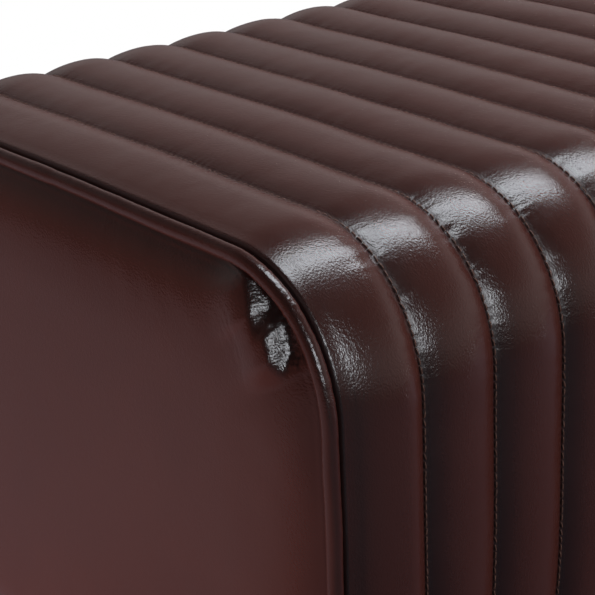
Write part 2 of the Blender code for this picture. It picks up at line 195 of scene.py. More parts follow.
def tube_faces(rings, turns, start=0):
    """Faces of a tube of rings with its two caps."""
    first = np.arange(turns) + start
    caps = [first[::-1].tolist(), (first + (rings - 1) * turns).tolist()]
    return grid_faces(rings, turns, start, closed=True) + caps


def smooth_line(values, reach):
    """Blur a line of values over a number of places."""
    places = np.arange(-3 * reach, 3 * reach + 1)
    weights = np.exp(-0.5 * (places / reach) ** 2)
    padded = np.pad(values, 3 * reach, mode="reflect", reflect_type="odd")
    return np.convolve(padded, weights / weights.sum(), mode="valid")


def knot_places(places, step):
    """Number of knots a step apart that places need, and each place's knot and share of the step after it."""
    start = places.min() - 2 * step
    count = int((places.max() - start) / step) + 4
    along = (places - start) / step
    index = np.clip(along.astype(int), 1, count - 3)
    return count, index, along - index


def knot_curve(knots, index, t):
    """Smooth curve through knots, at a share of the step after each given knot."""
    a, b, c, d = (knots[..., index + shift] for shift in (-1, 0, 1, 2))
    return b + 0.5 * t * (c - a + t * (2 * a - 5 * b + 4 * c - d + t * (3 * (b - c) + d - a)))


def wave_line(rng, places, wavelength):
    """Smooth irregular wave of about one unit along places."""
    count, index, t = knot_places(places, wavelength / 2)
    return knot_curve(rng.normal(size=count), index, t)


def wave_field(rng, rows, columns, size):
    """Smooth irregular field of about one unit over rows and columns of places."""
    count, index, t = knot_places(columns, size / 2)
    return knot_curve(np.stack([wave_line(rng, rows, size) for _ in range(count)], 1), index, t)


def line_at(at, places, line):
    """Points of a line that is given at places, at other places along it."""
    return np.stack([np.interp(at, places, column) for column in line.T], 1)


def soft_step(value, low, high):
    """Rise from 0 to 1 between two values."""
    share = np.clip((value - low) / (high - low), 0.0, 1.0)
    return share * share * (3 - 2 * share)


def hump(distance, width):
    """Fall from 1 at no distance to 0 on both sides."""
    return np.exp(-((distance / width) ** 2))


def blend(low, high, share):
    """Value between two others."""
    return low + (high - low) * share


# Section of the body


# How far the seams, and the line of the piped ends before its tuck, lie inside the CAD box, sideways
# and down.
SEAM_INSET = (0.0110, 0.0114)
END_INSET = (0.0080, 0.0120)


class Section:
    """Line over the body at its seams, from the front flap over the seat to the back flap."""

    FINE = 0.0005
    BLUR = 8
    LEAN = 3.0

    def __init__(self, sizes, turned_under=True):
        self.sizes = sizes
        aside, down = SEAM_INSET if turned_under else END_INSET
        self.seam_half = COVER_HIGH.y - aside
        self.seam_height = COVER_HIGH.z - down
        self.underside = COVER_LOW.z
        self.half_length = (PIPING_LOW.x + PIPING_HIGH.x) / 2
        self.piping_radius = (PIPING_HIGH.x - PIPING_LOW.x) / 2
        self.first_seam = sizes.pitch * (sizes.channels - 2) / 2
        self.cover_edge = COVER_HIGH.x
        self.shoulder = self.seam_height - sizes.edge_radius
        self.flat = self.seam_half - sizes.edge_radius
        self.half = self.half_line(turned_under)

    def side_at(self, z):
        """Distance of a long side from the middle at a height."""
        fall = np.clip((self.shoulder - z) / (self.shoulder - self.underside), 0.0, 1.0)
        return self.seam_half - self.sizes.side_tuck * fall**self.LEAN

    def half_line(self, turned_under):
        """Fine (outward, height) line from the middle of the seat to the flap or to the underside."""
        sizes = self.sizes
        out = np.arange(0.0, self.flat, self.FINE)
        top = np.stack((out, self.seam_height + sizes.crown * np.cos(math.pi / 2 * out / self.flat) ** 2), 1)
        radius = sizes.edge_radius
        angle = np.arange(0.0, math.pi / 2, self.FINE / radius)
        arc = np.stack((self.flat + radius * np.sin(angle), self.shoulder + radius * np.cos(angle)), 1)
        fold = sizes.fold_radius if turned_under else 0.0
        z = np.arange(self.shoulder, self.underside + fold, -self.FINE)
        side = np.stack((self.side_at(z), z), 1)
        parts = [top, arc, side]
        if turned_under:
            corner = self.side_at(self.underside + fold) - fold
            angle = np.arange(0.0, math.pi / 2, self.FINE / fold)
            turn = (corner + fold * np.cos(angle), self.underside + fold - fold * np.sin(angle))
            parts.append(np.stack(turn, 1))
            hem = self.side_at(self.underside) - sizes.flap
            out = np.arange(corner, hem, -self.FINE)
            parts.append(np.stack((out, np.full_like(out, self.underside)), 1))
        line = np.concatenate(parts)
        blurred = np.stack([smooth_line(column, self.BLUR) for column in line.T], 1)
        blurred[0, 0] = 0.0
        return blurred

    def sampled(self, at):
        """Points, outward normals and places of the whole line, at distances from the middle of the seat."""
        line = self.half
        place = self.places()
        tangent = np.gradient(line, place, axis=0)
        tangent /= np.hypot(*tangent.T)[:, None]
        normal = np.stack((-tangent[:, 1], tangent[:, 0]), 1)
        half, turn = line_at(at, place, line), line_at(at, place, normal)
        mirror = np.array((-1.0, 1.0))
        points = np.concatenate((half[:0:-1] * mirror, half))
        normals = np.concatenate((turn[:0:-1] * mirror, turn))
        return points, normals, np.concatenate((-at[:0:-1], at))

    def places(self):
        """Distance of each point of the fine line from the middle of the seat."""
        return np.concatenate(([0.0], np.cumsum(np.hypot(*np.diff(self.half, axis=0).T))))


# Leather cover


COVER_SEED, STITCH_SEED = 24, 5
ROWS_PER_STITCH = 3
# Rows round the fold and on the flap, and how far from the flap's edge the first end and the second
# start.
FOLD_ROWS, FLAP_ROWS = 14, 4
FOLD_END, FLAP_START = 0.022, 0.018
# Angle in the middle of a soft edge and its spread, in degrees, and the rows over which its ends are
# blurred.
BEND_MIDDLE, BEND_SPREAD, BEND_BLUR = 45.0, 30.0, 4
# Height over the underside below which the channels flatten, the relief left there and the share of
# other forms lost.
UNDER_REACH, UNDER_RELIEF, UNDER_LOSS = 0.022, 0.0003, 0.9
# Width of the flat seam allowance, and distance of the stitches from the seam.
FLANGE, STITCH_LINE = 0.0019, 0.0017
# Distance of a channel's crest from its left and right seams on the seat and on the sides, and from a
# piped edge.
TOP_CRESTS, SIDE_CRESTS, PIPED_CREST = (0.030, 0.020), (0.027, 0.023), 0.017
# Roundness of a channel's left flank on the seat and on the sides, and of its right flank; fullness
# of both flanks.
TOP_CURVE, SIDE_CURVE, RIGHT_CURVE, FULLNESS = 2.0, 2.1, 2.1, 0.96
# How softly the left and right flanks start at the seam.
LEFT_EASE, RIGHT_EASE = 0.0005, 0.0008
# Share of the relief that the first and last channels have on the seat.
END_RELIEF = 0.65
# Piped edge: radius of its roll, drop of its slope, gap to the piping, depth of the groove behind it,
# and reach, roundness and fullness of the slope.
PIPED_ROLL, PIPED_DROP, PIPED_GAP, GROOVE_FLOOR = 0.0028, 0.0028, 0.0024, 0.0095
PIPED_SLOPE = (0.036, 2.0, 0.95)
# Weakest and strongest pull of a stitch, and the share of rows that lie at a needle hole.
PULLS, HOLE_SHARE = (0.45, 1.35), 0.35
# Depth and width of the dent at a needle hole and of the trough along the stitches.
DENT_DEPTH, DENT_WIDTH = 0.00030, 0.0011
TROUGH_DEPTH, TROUGH_WIDTH = 0.00018, 0.0012
# Small folds that start at the stitches: height, reach, wavelength of their strength, share when flat
# and in a bend.
PLEAT_HEIGHT, PLEAT_REACH, PLEAT_WAVE, PLEAT_SHARES = 0.00030, 0.0050, 0.02, (0.8, 1.5)
# Loose folds beside the stitches: wavelength close by and farther away, distance over which it
# changes, reach, start, and share when flat and in a bend.
NEAR_WAVE, FAR_WAVE, WAVE_CHANGE = 0.0085, 0.015, 0.012
LOOSE_REACH, LOOSE_START, LOOSE_SHARES = 0.0085, 0.003, (0.25, 1.0)
# Folds on a channel's right flank: wavelength, reach, start, and share when flat and in a bend.
WALL_WAVE, WALL_REACH, WALL_START, WALL_SHARES = 0.0075, 0.0065, 0.0012, (0.30, 1.0)
# Small folds that the stitches pull in a channel's right flank: height on the seat and on the sides,
# reach and start.
TOP_TEETH, SIDE_TEETH, TEETH_REACH, TEETH_START = 0.00100, 0.00042, 0.0040, 0.0010
# Size and wavelength of the wander of the seams, of a channel's uneven height, and of wide and fine
# waves all over.
WANDER, UNEVEN = (0.0004, 0.11), (0.045, 0.14)
WIDE_WAVES, FINE_WAVES = (0.00012, 0.050), (0.00003, 0.016)
# Spread of the height from channel to channel.
CHANNEL_SPREAD = 0.02
# Width that stays unrubbed beside a piped edge, right of a seam and left of a seam, where the leather is also
# painted darker as shade.
RUB_AND_SHADE_PIPED, RUB_AND_SHADE_RIGHT, RUB_AND_SHADE_LEFT = 0.005, 0.016, 0.003
LINING_DEPTH = 0.003
# Height of the middle of the thread over the seam, on the seat and on the sides.
SUNK, PROUD = -0.00035, 0.00062
# One stitch along its run: places in its length, widths in its radius and heights in millimetres;
# turns round it.
STITCH_PLACES, STITCH_WIDTHS = (-0.5, -0.38, 0.0, 0.38, 0.5), (0.45, 0.95, 1.0, 0.95, 0.45)
STITCH_DIPS, STITCH_TURNS = (-0.5, -0.05, 0.06, -0.05, -0.5), 6
# Spread of the stitches' places, slants and heights, and their lowest height over the underside.
STITCH_SPREAD, SLANT_SPREAD, LIFT_SPREAD, STITCH_END = 0.0001, 0.13, 0.00006, 0.016
# Columns of a channel as shares of its width.
COLUMN_PLACES = (
    0.0, 0.014, 0.030, 0.048, 0.066, 0.086, 0.112, 0.145, 0.190, 0.250, 0.320, 0.400, 0.480, 0.560,
    0.640, 0.710, 0.770, 0.825, 0.870, 0.905, 0.935, 0.958, 0.975, 0.990, 1.0,
)
# Number of these beside a seam, and their least gap to the columns of a piped edge.
SEAM_COLUMNS, COLUMN_GAP = 6, 0.001
# Columns round the roll of a piped edge, as shares of its radius.
ROLL_PLACES = (0.0, 0.03, 0.12, 0.28, 0.50, 0.75, 1.0)


def cover_rows(section):
    """Places of the cover's rows from the middle of the seat, in step with the stitches down to the fold."""
    reach = section.places()[-1]
    fold = reach - section.sizes.flap - section.sizes.fold_radius
    step = section.sizes.stitch_pitch / ROWS_PER_STITCH
    rows = np.arange(0.0, fold - step, step)
    round_fold = np.linspace(rows[-1] + step, reach - FOLD_END, FOLD_ROWS)
    return np.concatenate((rows, round_fold, np.linspace(reach - FLAP_START, reach, FLAP_ROWS)))


def seam_places(section):
    """Places of all seams along the bench, the piped edges first and last."""
    sizes = section.sizes
    inner = -section.first_seam + sizes.pitch * np.arange(sizes.channels - 1)
    return np.concatenate(([-section.cover_edge], inner, [section.cover_edge]))


def bend_weight(section, points):
    """How much each row of the section lies on a soft edge, from 0 to 1."""
    out = np.abs(points[:, 0])
    angle = np.degrees(np.arctan2(points[:, 1] - section.shoulder, np.maximum(out - section.flat, 1e-6)))
    on_edge = np.where(out > section.flat, hump(angle - BEND_MIDDLE, BEND_SPREAD), 0.0)
    return smooth_line(on_edge, BEND_BLUR)


def side_weight(section, points):
    """How much each row lies on a long side rather than on the seat, from 0 to 1."""
    return soft_step(section.seam_height - points[:, 1], 0.0, section.sizes.edge_radius)


def under_weight(section, points):
    """How much each row lies on the turned-under flap, from 0 to 1."""
    return soft_step(section.underside + UNDER_REACH - points[:, 1], 0.0, UNDER_REACH)


def dome(distance, reach, curve, power):
    """Rise from 0 to 1 of a padded edge at a distance from its seam."""
    share = np.clip(distance / reach, 0.0, 1.0)
    return (1.0 - (1.0 - share) ** curve) ** power


def eased(distance, width):
    """Distance that starts softly at zero."""
    return width * np.logaddexp(0.0, np.asarray(distance) / width)


def channel_columns(section, index, start, end):
    """Distances of one channel's columns from its left and right edges, with those of a piped edge's roll."""
    width = end - start
    left = np.array(COLUMN_PLACES) * width
    inner = PIPED_ROLL + np.array(COLUMN_PLACES[SEAM_COLUMNS:]) * (width - PIPED_ROLL)
    piped = np.concatenate((np.array(ROLL_PLACES) * PIPED_ROLL, inner))
    if index == 0:
        left = piped
    elif index == section.sizes.channels - 1:
        flange = left[: SEAM_COLUMNS + 1]
        left = np.concatenate((flange, np.sort(width - piped[piped < width - flange[-1] - COLUMN_GAP])))
    return left, width - left


def channel_height(section, index, left, right, relief, side):
    """Height of one channel over the seams for each row's relief and each column."""
    last = section.sizes.channels - 1
    piped = index in (0, last)
    if piped:
        relief = relief * blend(END_RELIEF, 1, side)
    curve = blend(TOP_CURVE, SIDE_CURVE, side)[:, None]
    near, far = (blend(top, low, side)[:, None] for top, low in zip(TOP_CRESTS, SIDE_CRESTS))
    rise = np.ones((len(relief), len(left))) * relief[:, None]
    if index < last:
        reach = PIPED_CREST if index == 0 else far
        rise = rise * dome(eased(right, RIGHT_EASE), reach, RIGHT_CURVE, FULLNESS)
    if index > 0:
        reach = PIPED_CREST if index == last else near
        rise = rise * dome(eased(left - FLANGE, LEFT_EASE), reach - FLANGE, curve, FULLNESS)
    if piped:
        edge = left if index == 0 else right
        fall = 1.0 - dome(np.maximum(edge - PIPED_ROLL, 0.0), *PIPED_SLOPE)
        rise = rise - (relief[:, None] + PIPED_DROP) * fall
        inside = np.clip(PIPED_ROLL - edge, 0.0, PIPED_ROLL)
        rise = rise - (PIPED_ROLL - np.sqrt(np.maximum(PIPED_ROLL**2 - inside**2, 0.0)))
    return rise


def stitch_pull(rng, section, along):
    """Which rows lie at a needle hole, and how hard each row's stitch pulls."""
    pitch = section.sizes.stitch_pitch
    step = np.round(along / pitch * ROWS_PER_STITCH).astype(int)
    stitch = np.floor(along / pitch + 0.5).astype(int)
    pull = rng.uniform(*PULLS, stitch.max() - stitch.min() + 1)[stitch - stitch.min()]
    return (step % ROWS_PER_STITCH == 0).astype(float), pull


def seam_folds(rng, section, along, distance, bend, under):
    """Small folds and needle dents of the leather beside one row of stitches."""
    at_hole, pull = stitch_pull(rng, section, along)
    from_stitch = distance - STITCH_LINE
    dents = -DENT_DEPTH * (at_hole * pull)[:, None] * hump(from_stitch, DENT_WIDTH)
    dents = dents - TROUGH_DEPTH * hump(from_stitch, TROUGH_WIDTH)
    swing = (at_hole - HOLE_SHARE) * pull * (0.5 + 0.5 * wave_line(rng, along, PLEAT_WAVE))
    fade = np.exp(-np.maximum(from_stitch, 0.0) / PLEAT_REACH) * np.clip(distance / STITCH_LINE, 0, 1)
    folds = -PLEAT_HEIGHT * blend(*PLEAT_SHARES, bend)[:, None] * swing[:, None] * fade
    near = wave_line(rng, along, NEAR_WAVE)
    far = wave_line(rng, along, FAR_WAVE)
    mix = np.clip(distance / WAVE_CHANGE, 0.0, 1.0)
    fade = np.exp(-distance / LOOSE_REACH) * np.clip(distance / LOOSE_START, 0, 1)
    waves = near[:, None] * (1 - mix) + far[:, None] * mix
    folds = folds + section.sizes.pucker * blend(*LOOSE_SHARES, bend)[:, None] * waves * fade
    return (dents + folds) * (1 - under)[:, None]


def wall_folds(rng, section, along, distance, bend, side, under):
    """Small folds of the leather on the steep right flank of a channel."""
    near = wave_line(rng, along, WALL_WAVE)
    fade = np.exp(-distance / WALL_REACH) * (1 - np.exp(-distance / WALL_START))
    shares = blend(*WALL_SHARES, bend) - WALL_SHARES[0] * under
    folds = section.sizes.pucker * shares[:, None] * near[:, None] * fade
    at_hole, pull = stitch_pull(rng, section, along)
    fade = np.exp(-distance / TEETH_REACH) * np.clip(distance / TEETH_START, 0, 1)
    tall = blend(TOP_TEETH, SIDE_TEETH, np.maximum(bend, side))
    teeth = -(tall * (at_hole - HOLE_SHARE) * pull * (1 - under))[:, None] * fade
    return folds + teeth


def cover_faces(rows, columns, stations):
    """Faces of the cover's skin, of its lining, with a line under each station, and of the edges."""
    base, lines = rows * columns, len(stations)
    faces = grid_faces(rows, columns)
    faces += [face[::-1] for face in grid_faces(rows, lines, base)]
    for station, column in ((0, 0), (lines - 1, columns - 1)):
        for row in range(rows - 1):
            a, b = row * columns + column, (row + 1) * columns + column
            c, d = base + (row + 1) * lines + station, base + row * lines + station
            faces.append((a, b, c, d) if station == 0 else (d, c, b, a))
    for row in (0, rows - 1):
        for place, (start, end) in enumerate(zip(stations, stations[1:])):
            rim_line = [row * columns + column for column in range(start, end + 1)]
            loop = rim_line + [base + row * lines + place + 1, base + row * lines + place]
            faces.append(loop[::-1] if row == 0 else loop)
    return faces


def build_cover(section):
    """Quilted cover as one closed skin: channels outside, a plain lining inside."""
    sizes = section.sizes
    rng = np.random.default_rng(COVER_SEED)
    points, normals, along = section.sampled(cover_rows(section))
    rows = len(points)
    bend = bend_weight(section, points)
    side = side_weight(section, points)
    under = under_weight(section, points)
    kept = (1 - UNDER_LOSS * under)[:, None]
    relief = blend(sizes.relief, sizes.side_relief, side)
    relief = relief * (1 - under) + UNDER_RELIEF * under
    seams = seam_places(section)
    rim = section.half_length - section.piping_radius - PIPED_GAP
    seams[0], seams[-1] = -rim, rim
    sway, wavelength = WANDER
    wander = [sway * wave_line(rng, along, wavelength) for _ in seams]
    wander[0] *= 0.0
    wander[-1] *= 0.0
    spread, wavelength = UNEVEN
    xs, heights, rubs_and_shades = [], [], []
    for index, (start, end) in enumerate(zip(seams, seams[1:])):
        left, right = channel_columns(section, index, start, end)
        if index > 0:
            left, right = left[1:], right[1:]
        share = left / (left + right)
        size = 1 + spread * wave_line(rng, along, wavelength) + CHANNEL_SPREAD * rng.normal()
        height = channel_height(section, index, left, right, relief * size, side)
        if index > 0:
            height = height + seam_folds(rng, section, along, left, bend, under)
        if index < len(seams) - 2:
            height = height + wall_folds(rng, section, along, right, bend, side, under)
        near, far = wander[index][:, None], wander[index + 1][:, None]
        # Rub mask, 1 on the crests and 0 at the seams: rubbed wear on the crests, painted shade in the seams.
        crest = np.minimum(left / (RUB_AND_SHADE_PIPED if index == 0 else RUB_AND_SHADE_RIGHT), right / RUB_AND_SHADE_LEFT)
        xs.append(start + left[None, :] + near * (1 - share) + far * share)
        heights.append(height)
        rubs_and_shades.append(np.broadcast_to(np.clip(crest, 0.0, 1.0), height.shape))
    x, height, rub_and_shade = (np.concatenate(blocks, 1) for blocks in (xs, heights, rubs_and_shades))
    mean_x = x.mean(0)
    for tall, wavelength in (WIDE_WAVES, FINE_WAVES):
        height = height + rub_and_shade * kept * tall * wave_field(rng, along, mean_x, wavelength)
    shelf = np.full((rows, 1), section.cover_edge)
    wall = np.full((rows, 1), rim)
    floor = -GROOVE_FLOOR * np.ones((rows, 1)) * kept
    x = np.concatenate((-shelf, -wall, -wall, x, wall, wall, shelf), 1)
    middle = [(floor + 2 * height[:, [column]]) / 3 for column in (0, -1)]
    height = np.concatenate((floor, floor, middle[0], height, middle[1], floor, floor), 1)
    # The grooves beside the piping get no rub, so they are painted darkest, as shade.
    rub_and_shade = np.pad(rub_and_shade, ((0, 0), (3, 3)))
    columns = x.shape[1]
    outside = np.empty((rows, columns, 3))
    outside[..., 0] = x
    for axis in (0, 1):
        outside[..., axis + 1] = points[:, axis, None] + normals[:, axis, None] * height
    first = int(np.argmin(np.abs(x[0] + section.first_seam)))
    final = columns - 1 - int(np.argmin(np.abs(x[0, ::-1] - section.first_seam)))
    stations = (0, first, final, columns - 1)
    lining = np.empty((rows, len(stations), 3))
    for place, station in enumerate(stations):
        depth = LINING_DEPTH + (0.0 if station in (first, final) else sizes.end_tuck)
        lining[:, place, 0] = x[:, station]
        lining[:, place, 1:] = points - normals * (depth * (1 - 0.5 * under))[:, None]
    skin = np.concatenate((outside.reshape(-1, 3), lining.reshape(-1, 3)))
    mesh = mesh_from("quilted_cover", skin, cover_faces(rows, columns, stations))
    rub_and_shade = rub_and_shade.ravel() * np.repeat(1 - under, columns)
    point_values(mesh, "rub_and_shade", np.concatenate((rub_and_shade, np.zeros(rows * len(stations)))))
    return mesh, (points, normals, along, seams, wander)


def stitch_shape(sizes):
    """Points of one stitch: along its run, across it and outward."""
    angle = np.arange(STITCH_TURNS) / STITCH_TURNS * math.tau
    widths = np.array(STITCH_WIDTHS)[:, None] * (sizes.thread / 2)
    local = np.empty((len(STITCH_PLACES), STITCH_TURNS, 3))
    local[..., 0] = np.array(STITCH_PLACES)[:, None] * sizes.stitch_length
    local[..., 1] = widths * np.cos(angle)
    local[..., 2] = widths * np.sin(angle) + np.array(STITCH_DIPS)[:, None] * MM
    return local.reshape(-1, 3)


def build_stitches(section, seat):
    """One mesh of sewn stitches, lying in the valleys between the channels."""
    points, normals, along, seams, wander = seat
    pitch = section.sizes.stitch_pitch
    rng = np.random.default_rng(STITCH_SEED)
    raised = blend(SUNK, PROUD, np.maximum(bend_weight(section, points), side_weight(section, points)))
    local = stitch_shape(section.sizes)
    low = np.nonzero(points[:, 1] > section.underside + STITCH_END)[0]
    count = int(along[low[-1]] / pitch)
    blocks = []
    for seam in range(1, len(seams) - 1):
        places = (np.arange(-count, count) + 0.5) * pitch
        places = places + rng.normal(0, STITCH_SPREAD, len(places))
        x = seams[seam] + np.interp(places, along, wander[seam]) + STITCH_LINE
        centre = np.column_stack((x, line_at(places, along, points)))
        out = np.column_stack((np.zeros(len(x)), line_at(places, along, normals)))
        out /= np.linalg.norm(out, axis=1)[:, None]
        cross = np.tile((1.0, 0.0, 0.0), (len(out), 1))
        run = np.cross(out, cross) + cross * rng.normal(0, SLANT_SPREAD, len(out))[:, None]
        lift = np.interp(places, along, raised) + rng.normal(0, LIFT_SPREAD, len(out))
        spot = centre + out * lift[:, None]
        made = (
            spot[:, None, :]
            + local[None, :, 0, None] * run[:, None, :]
            + local[None, :, 1, None] * cross[:, None, :]
            + local[None, :, 2, None] * out[:, None, :]
        )
        blocks.append(made.reshape(-1, 3))
    points = np.concatenate(blocks)
    faces = []
    for start in range(0, len(points), len(local)):
        faces += tube_faces(len(STITCH_PLACES), STITCH_TURNS, start)
    return mesh_from("seam_stitches", points, faces)


# Piped ends


PIPING_SEED, CREASE_SEED = 70, 300
PIPING_TURNS, PIPING_STEP = 20, 0.0009
# Size and wavelength of the piping's uneven thickness and of its wander; share by which it is oval.
PIPING_UNEVEN, PIPING_WANDER, PIPING_OVAL = (0.00010, 0.03), (0.0002, 0.06), 0.06
# Wide and fine folds of the piping: wavelength, height where it is straight, and what a bend adds.
PIPING_FOLDS, PIPING_FINE = (0.0065, 0.00004, 0.00009), (0.0024, 0.00001, 0.00008)
# How much the piping is rubbed, which paints it darker all along as shade, and how much it is gathered in a
# bend.
PIPING_RUB_AND_SHADE, PIPING_GATHER = 0.3, 0.5


def end_line(section, inset, spacing):
    """Open (y, z) line round an end, from one lower corner over the top to the other, and its normals."""
    reach = section.places()[-1]
    points, normals, along = section.sampled(np.linspace(0.0, reach, int(reach / spacing) + 1))
    return points - normals * inset, normals, along


def build_piping(name, section, side):
    """Round welt along the rim of one end, with the small folds of a sewn leather tube."""
    rng = np.random.default_rng(PIPING_SEED + side)
    line, normals, along = end_line(section, section.sizes.end_tuck, PIPING_STEP)
    rows = len(line)
    bend = bend_weight(section, line)
    angle = np.arange(PIPING_TURNS) / PIPING_TURNS * math.tau
    size, wavelength = PIPING_UNEVEN
    radius = np.full((rows, PIPING_TURNS), section.piping_radius)
    radius += size * wave_line(rng, along, wavelength)[:, None]
    wavelength, straight, bent = PIPING_FOLDS
    folds = wave_line(rng, along, wavelength)[:, None] * (0.6 + 0.4 * np.cos(angle + rng.uniform(0, 6)))
    radius += (straight + bent * bend)[:, None] * folds
    wavelength, straight, bent = PIPING_FINE
    fine = wave_line(rng, along, wavelength)[:, None] * (0.6 + 0.4 * np.cos(2 * angle + 1.0))
    radius += (straight + bent * bend)[:, None] * fine
    ring = radius + section.piping_radius * PIPING_OVAL * np.cos(2 * angle)
    size, wavelength = PIPING_WANDER
    centre_x = side * section.half_length + size * wave_line(rng, along, wavelength)
    points = np.empty((rows, PIPING_TURNS, 3))
    points[..., 0] = centre_x[:, None] + ring * np.sin(angle) * side
    for axis in (0, 1):
        points[..., axis + 1] = line[:, axis, None] + normals[:, axis, None] * ring * np.cos(angle)
    mesh = mesh_from(name, points.reshape(-1, 3), tube_faces(rows, PIPING_TURNS))
    face_outward(mesh)
    # The piping's low rub paints it darker, as shade.
    point_values(mesh, "rub_and_shade", np.full(rows * PIPING_TURNS, PIPING_RUB_AND_SHADE))
    point_values(mesh, "gather", np.repeat(PIPING_GATHER * bend, PIPING_TURNS))
    return mesh


# Depth of a panel's back behind the middle of the piping, share of the piping's radius that covers
# its rim, and how far its lower corners are eased.
PANEL_BACK, RIM_COVERED, CORNER_EASE = 0.0047, 0.75, 0.004
# Pad that swells: spacing of its rim, its rings with their distance from the rim and their height,
# and voxel size.
BLANK_STEP, PANEL_VOXEL = 0.004, 0.005
BLANK_RINGS = ((0.0, -0.006), (0.0, -0.0015), (0.005, 0.0010), (0.04, 0.0026), (0.10, 0.0032))
# The part of the pad that is free to swell: its lowest height and least distance from the rim.
FREE_HEIGHT, FREE_INWARD = -0.001, 0.003
# Frames of the swelling, the farthest that it may move the leather, and the settings of the cloth.
PANEL_FRAMES, PANEL_CAP = 20, 0.006
CLOTH = {
    "quality": 6,
    "mass": 0.25,
    "vertex_group_mass": "held",
    "use_pressure": True,
    "uniform_pressure_force": 4.0,
    "shrink_min": -0.002,
    "bending_stiffness": 1.0,
}
# Fall of the face towards the rim: reach, depth and power.
RIM_FALL = (0.006, 0.0045, 2.2)
# Wadding under a panel: share of the swelled height that shows, height of the wadding, its reach from
# the rim and the power of its rise.
WADDING = (0.6, 0.0095, 0.017, 1.5)
# Rings of a panel's mesh: spacing along the rim, distances of the fine ones from the rim, number of
# wide ones farther in, and the share of the way to the middle that these reach.
PANEL_STEP, WIDE_RINGS, INNER_RING = 0.0012, 16, 0.985
FINE_RINGS = np.concatenate(
    (np.arange(0.0, 0.0039, 0.0005), np.arange(0.004, 0.0299, 0.0007), np.arange(0.030, 0.0421, 0.0012))
)
# How much a panel is rubbed at its rim, how much more farther in, and where that is reached; the low rub at
# the rim paints a band of shade beside the piping.
PANEL_RUB_AND_SHADE = (0.25, 0.55, 0.02)


def panel_outline(section, spacing):
    """Closed (y, z) line of an end panel's rim, with eased lower corners, and the middle of the panel."""
    inset = section.sizes.end_tuck + section.piping_radius * RIM_COVERED
    over = end_line(section, inset, spacing)[0]
    count = int((over[-1, 0] - over[0, 0]) / spacing)
    share = np.arange(1, count) / count
    under = np.stack((over[-1, 0] + (over[0, 0] - over[-1, 0]) * share, np.full(count - 1, over[0, 1])), 1)
    loop = np.concatenate((over, under))
    reach = max(2, int(CORNER_EASE / spacing))
    wrapped = np.concatenate((loop[-4 * reach :], loop, loop[: 4 * reach]))
    smoothed = np.stack([smooth_line(column, reach) for column in wrapped.T], 1)
    return smoothed[4 * reach : -4 * reach], (section.underside + section.seam_height) / 2


def panel_ring(loop, middle, inward):
    """Rim line drawn in towards the middle of the panel by a distance."""
    wide = np.abs(loop[:, 0]).max()
    high = np.abs(loop[:, 1] - middle).max()
    share = inward / high
    reach = wide + (high - wide) * share * share
    return np.stack((loop[:, 0] * (1 - inward / reach), middle + (loop[:, 1] - middle) * (1 - share)), 1)


def panel_blank(section):
    """Closed flat pad with the outline of an end, drawn at the right end and about x = 0."""
    loop, middle = panel_outline(section, BLANK_STEP)
    shape = bmesh.new()
    rings = []
    for inward, x in BLANK_RINGS:
        ring = panel_ring(loop, middle, inward)
        rings.append([shape.verts.new((x, y, z)) for y, z in ring])
    for near, far in zip(rings, rings[1:]):
        for index in range(len(near)):
            after = (index + 1) % len(near)
            shape.faces.new((near[index], near[after], far[after], far[index]))
    shape.faces.new(rings[0])
    shape.faces.new(rings[-1])
    bmesh.ops.recalc_face_normals(shape, faces=shape.faces)
    mesh = bpy.data.meshes.new("panel_blank")
    shape.to_mesh(mesh)
    shape.free()
    return mesh, loop


def rim_distance(points, line):
    """Distance of (y, z) points from the closed line of a rim."""
    loop = np.concatenate((line, line[:1]))
    best = np.full(len(points), 1e9)
    for start, end in zip(loop, loop[1:]):
        run = end - start
        share = np.clip(((points - start) @ run) / max(run @ run, 1e-12), 0, 1)
        best = np.minimum(best, np.hypot(*(points - start - share[:, None] * run).T))
    return best


def inflated(mesh, free):
    """Points of a mesh after its free part has swelled as cloth."""
    helper = bpy.data.objects.new("swelling", mesh)
    scene = bpy.context.scene
    scene.collection.objects.link(helper)
    pins = helper.vertex_groups.new(name=CLOTH["vertex_group_mass"])
    for index in np.nonzero(~free)[0].tolist():
        pins.add([index], 1.0, "REPLACE")
    cloth = helper.modifiers.new("cloth", "CLOTH")
    for key, value in CLOTH.items():
        setattr(cloth.settings, key, value)
    cloth.settings.effector_weights.gravity = 0.0
    cloth.collision_settings.use_collision = False
    cloth.point_cache.frame_start = 1
    cloth.point_cache.frame_end = PANEL_FRAMES
    for number in range(1, PANEL_FRAMES + 1):
        scene.frame_set(number)
    made = helper.evaluated_get(bpy.context.evaluated_depsgraph_get())
    points = points_of(made.data)
    bpy.data.objects.remove(helper)
    scene.frame_set(1)
    return points


def swelled_panel(section):
    """Tree of the face of an end panel after it has swelled as cloth, about x = 0."""
    blank, loop = panel_blank(section)
    mesh = shaped(blank, ("REMESH", {"mode": "VOXEL", "voxel_size": PANEL_VOXEL}))
    start = points_of(mesh)
    free = (start[:, 0] > FREE_HEIGHT) & (rim_distance(start[:, 1:], loop) > FREE_INWARD)
    shift = inflated(mesh, free) - start
    length = np.linalg.norm(shift, axis=1)
    shift *= (np.minimum(length, PANEL_CAP) / np.maximum(length, 1e-9))[:, None]
    set_points(mesh, start + shift)
    soften = ("SMOOTH", {"factor": 0.5, "iterations": 6})
    smooth = shaped(mesh, soften, ("SUBSURF", {"levels": 1, "render_levels": 1}))
    shape = bmesh.new()
    shape.from_mesh(smooth)
    return BVHTree.FromBMesh(shape)


def face_height(tree, places):
    """Height of a swelled face at (y, z) places."""
    towards = Vector((-1.0, 0.0, 0.0))
    heights = np.zeros(len(places))
    for index, (y, z) in enumerate(places.tolist()):
        spot = tree.ray_cast(Vector((0.1, y, z)), towards)[0]
        heights[index] = spot.x if spot is not None else 0.0
    return heights


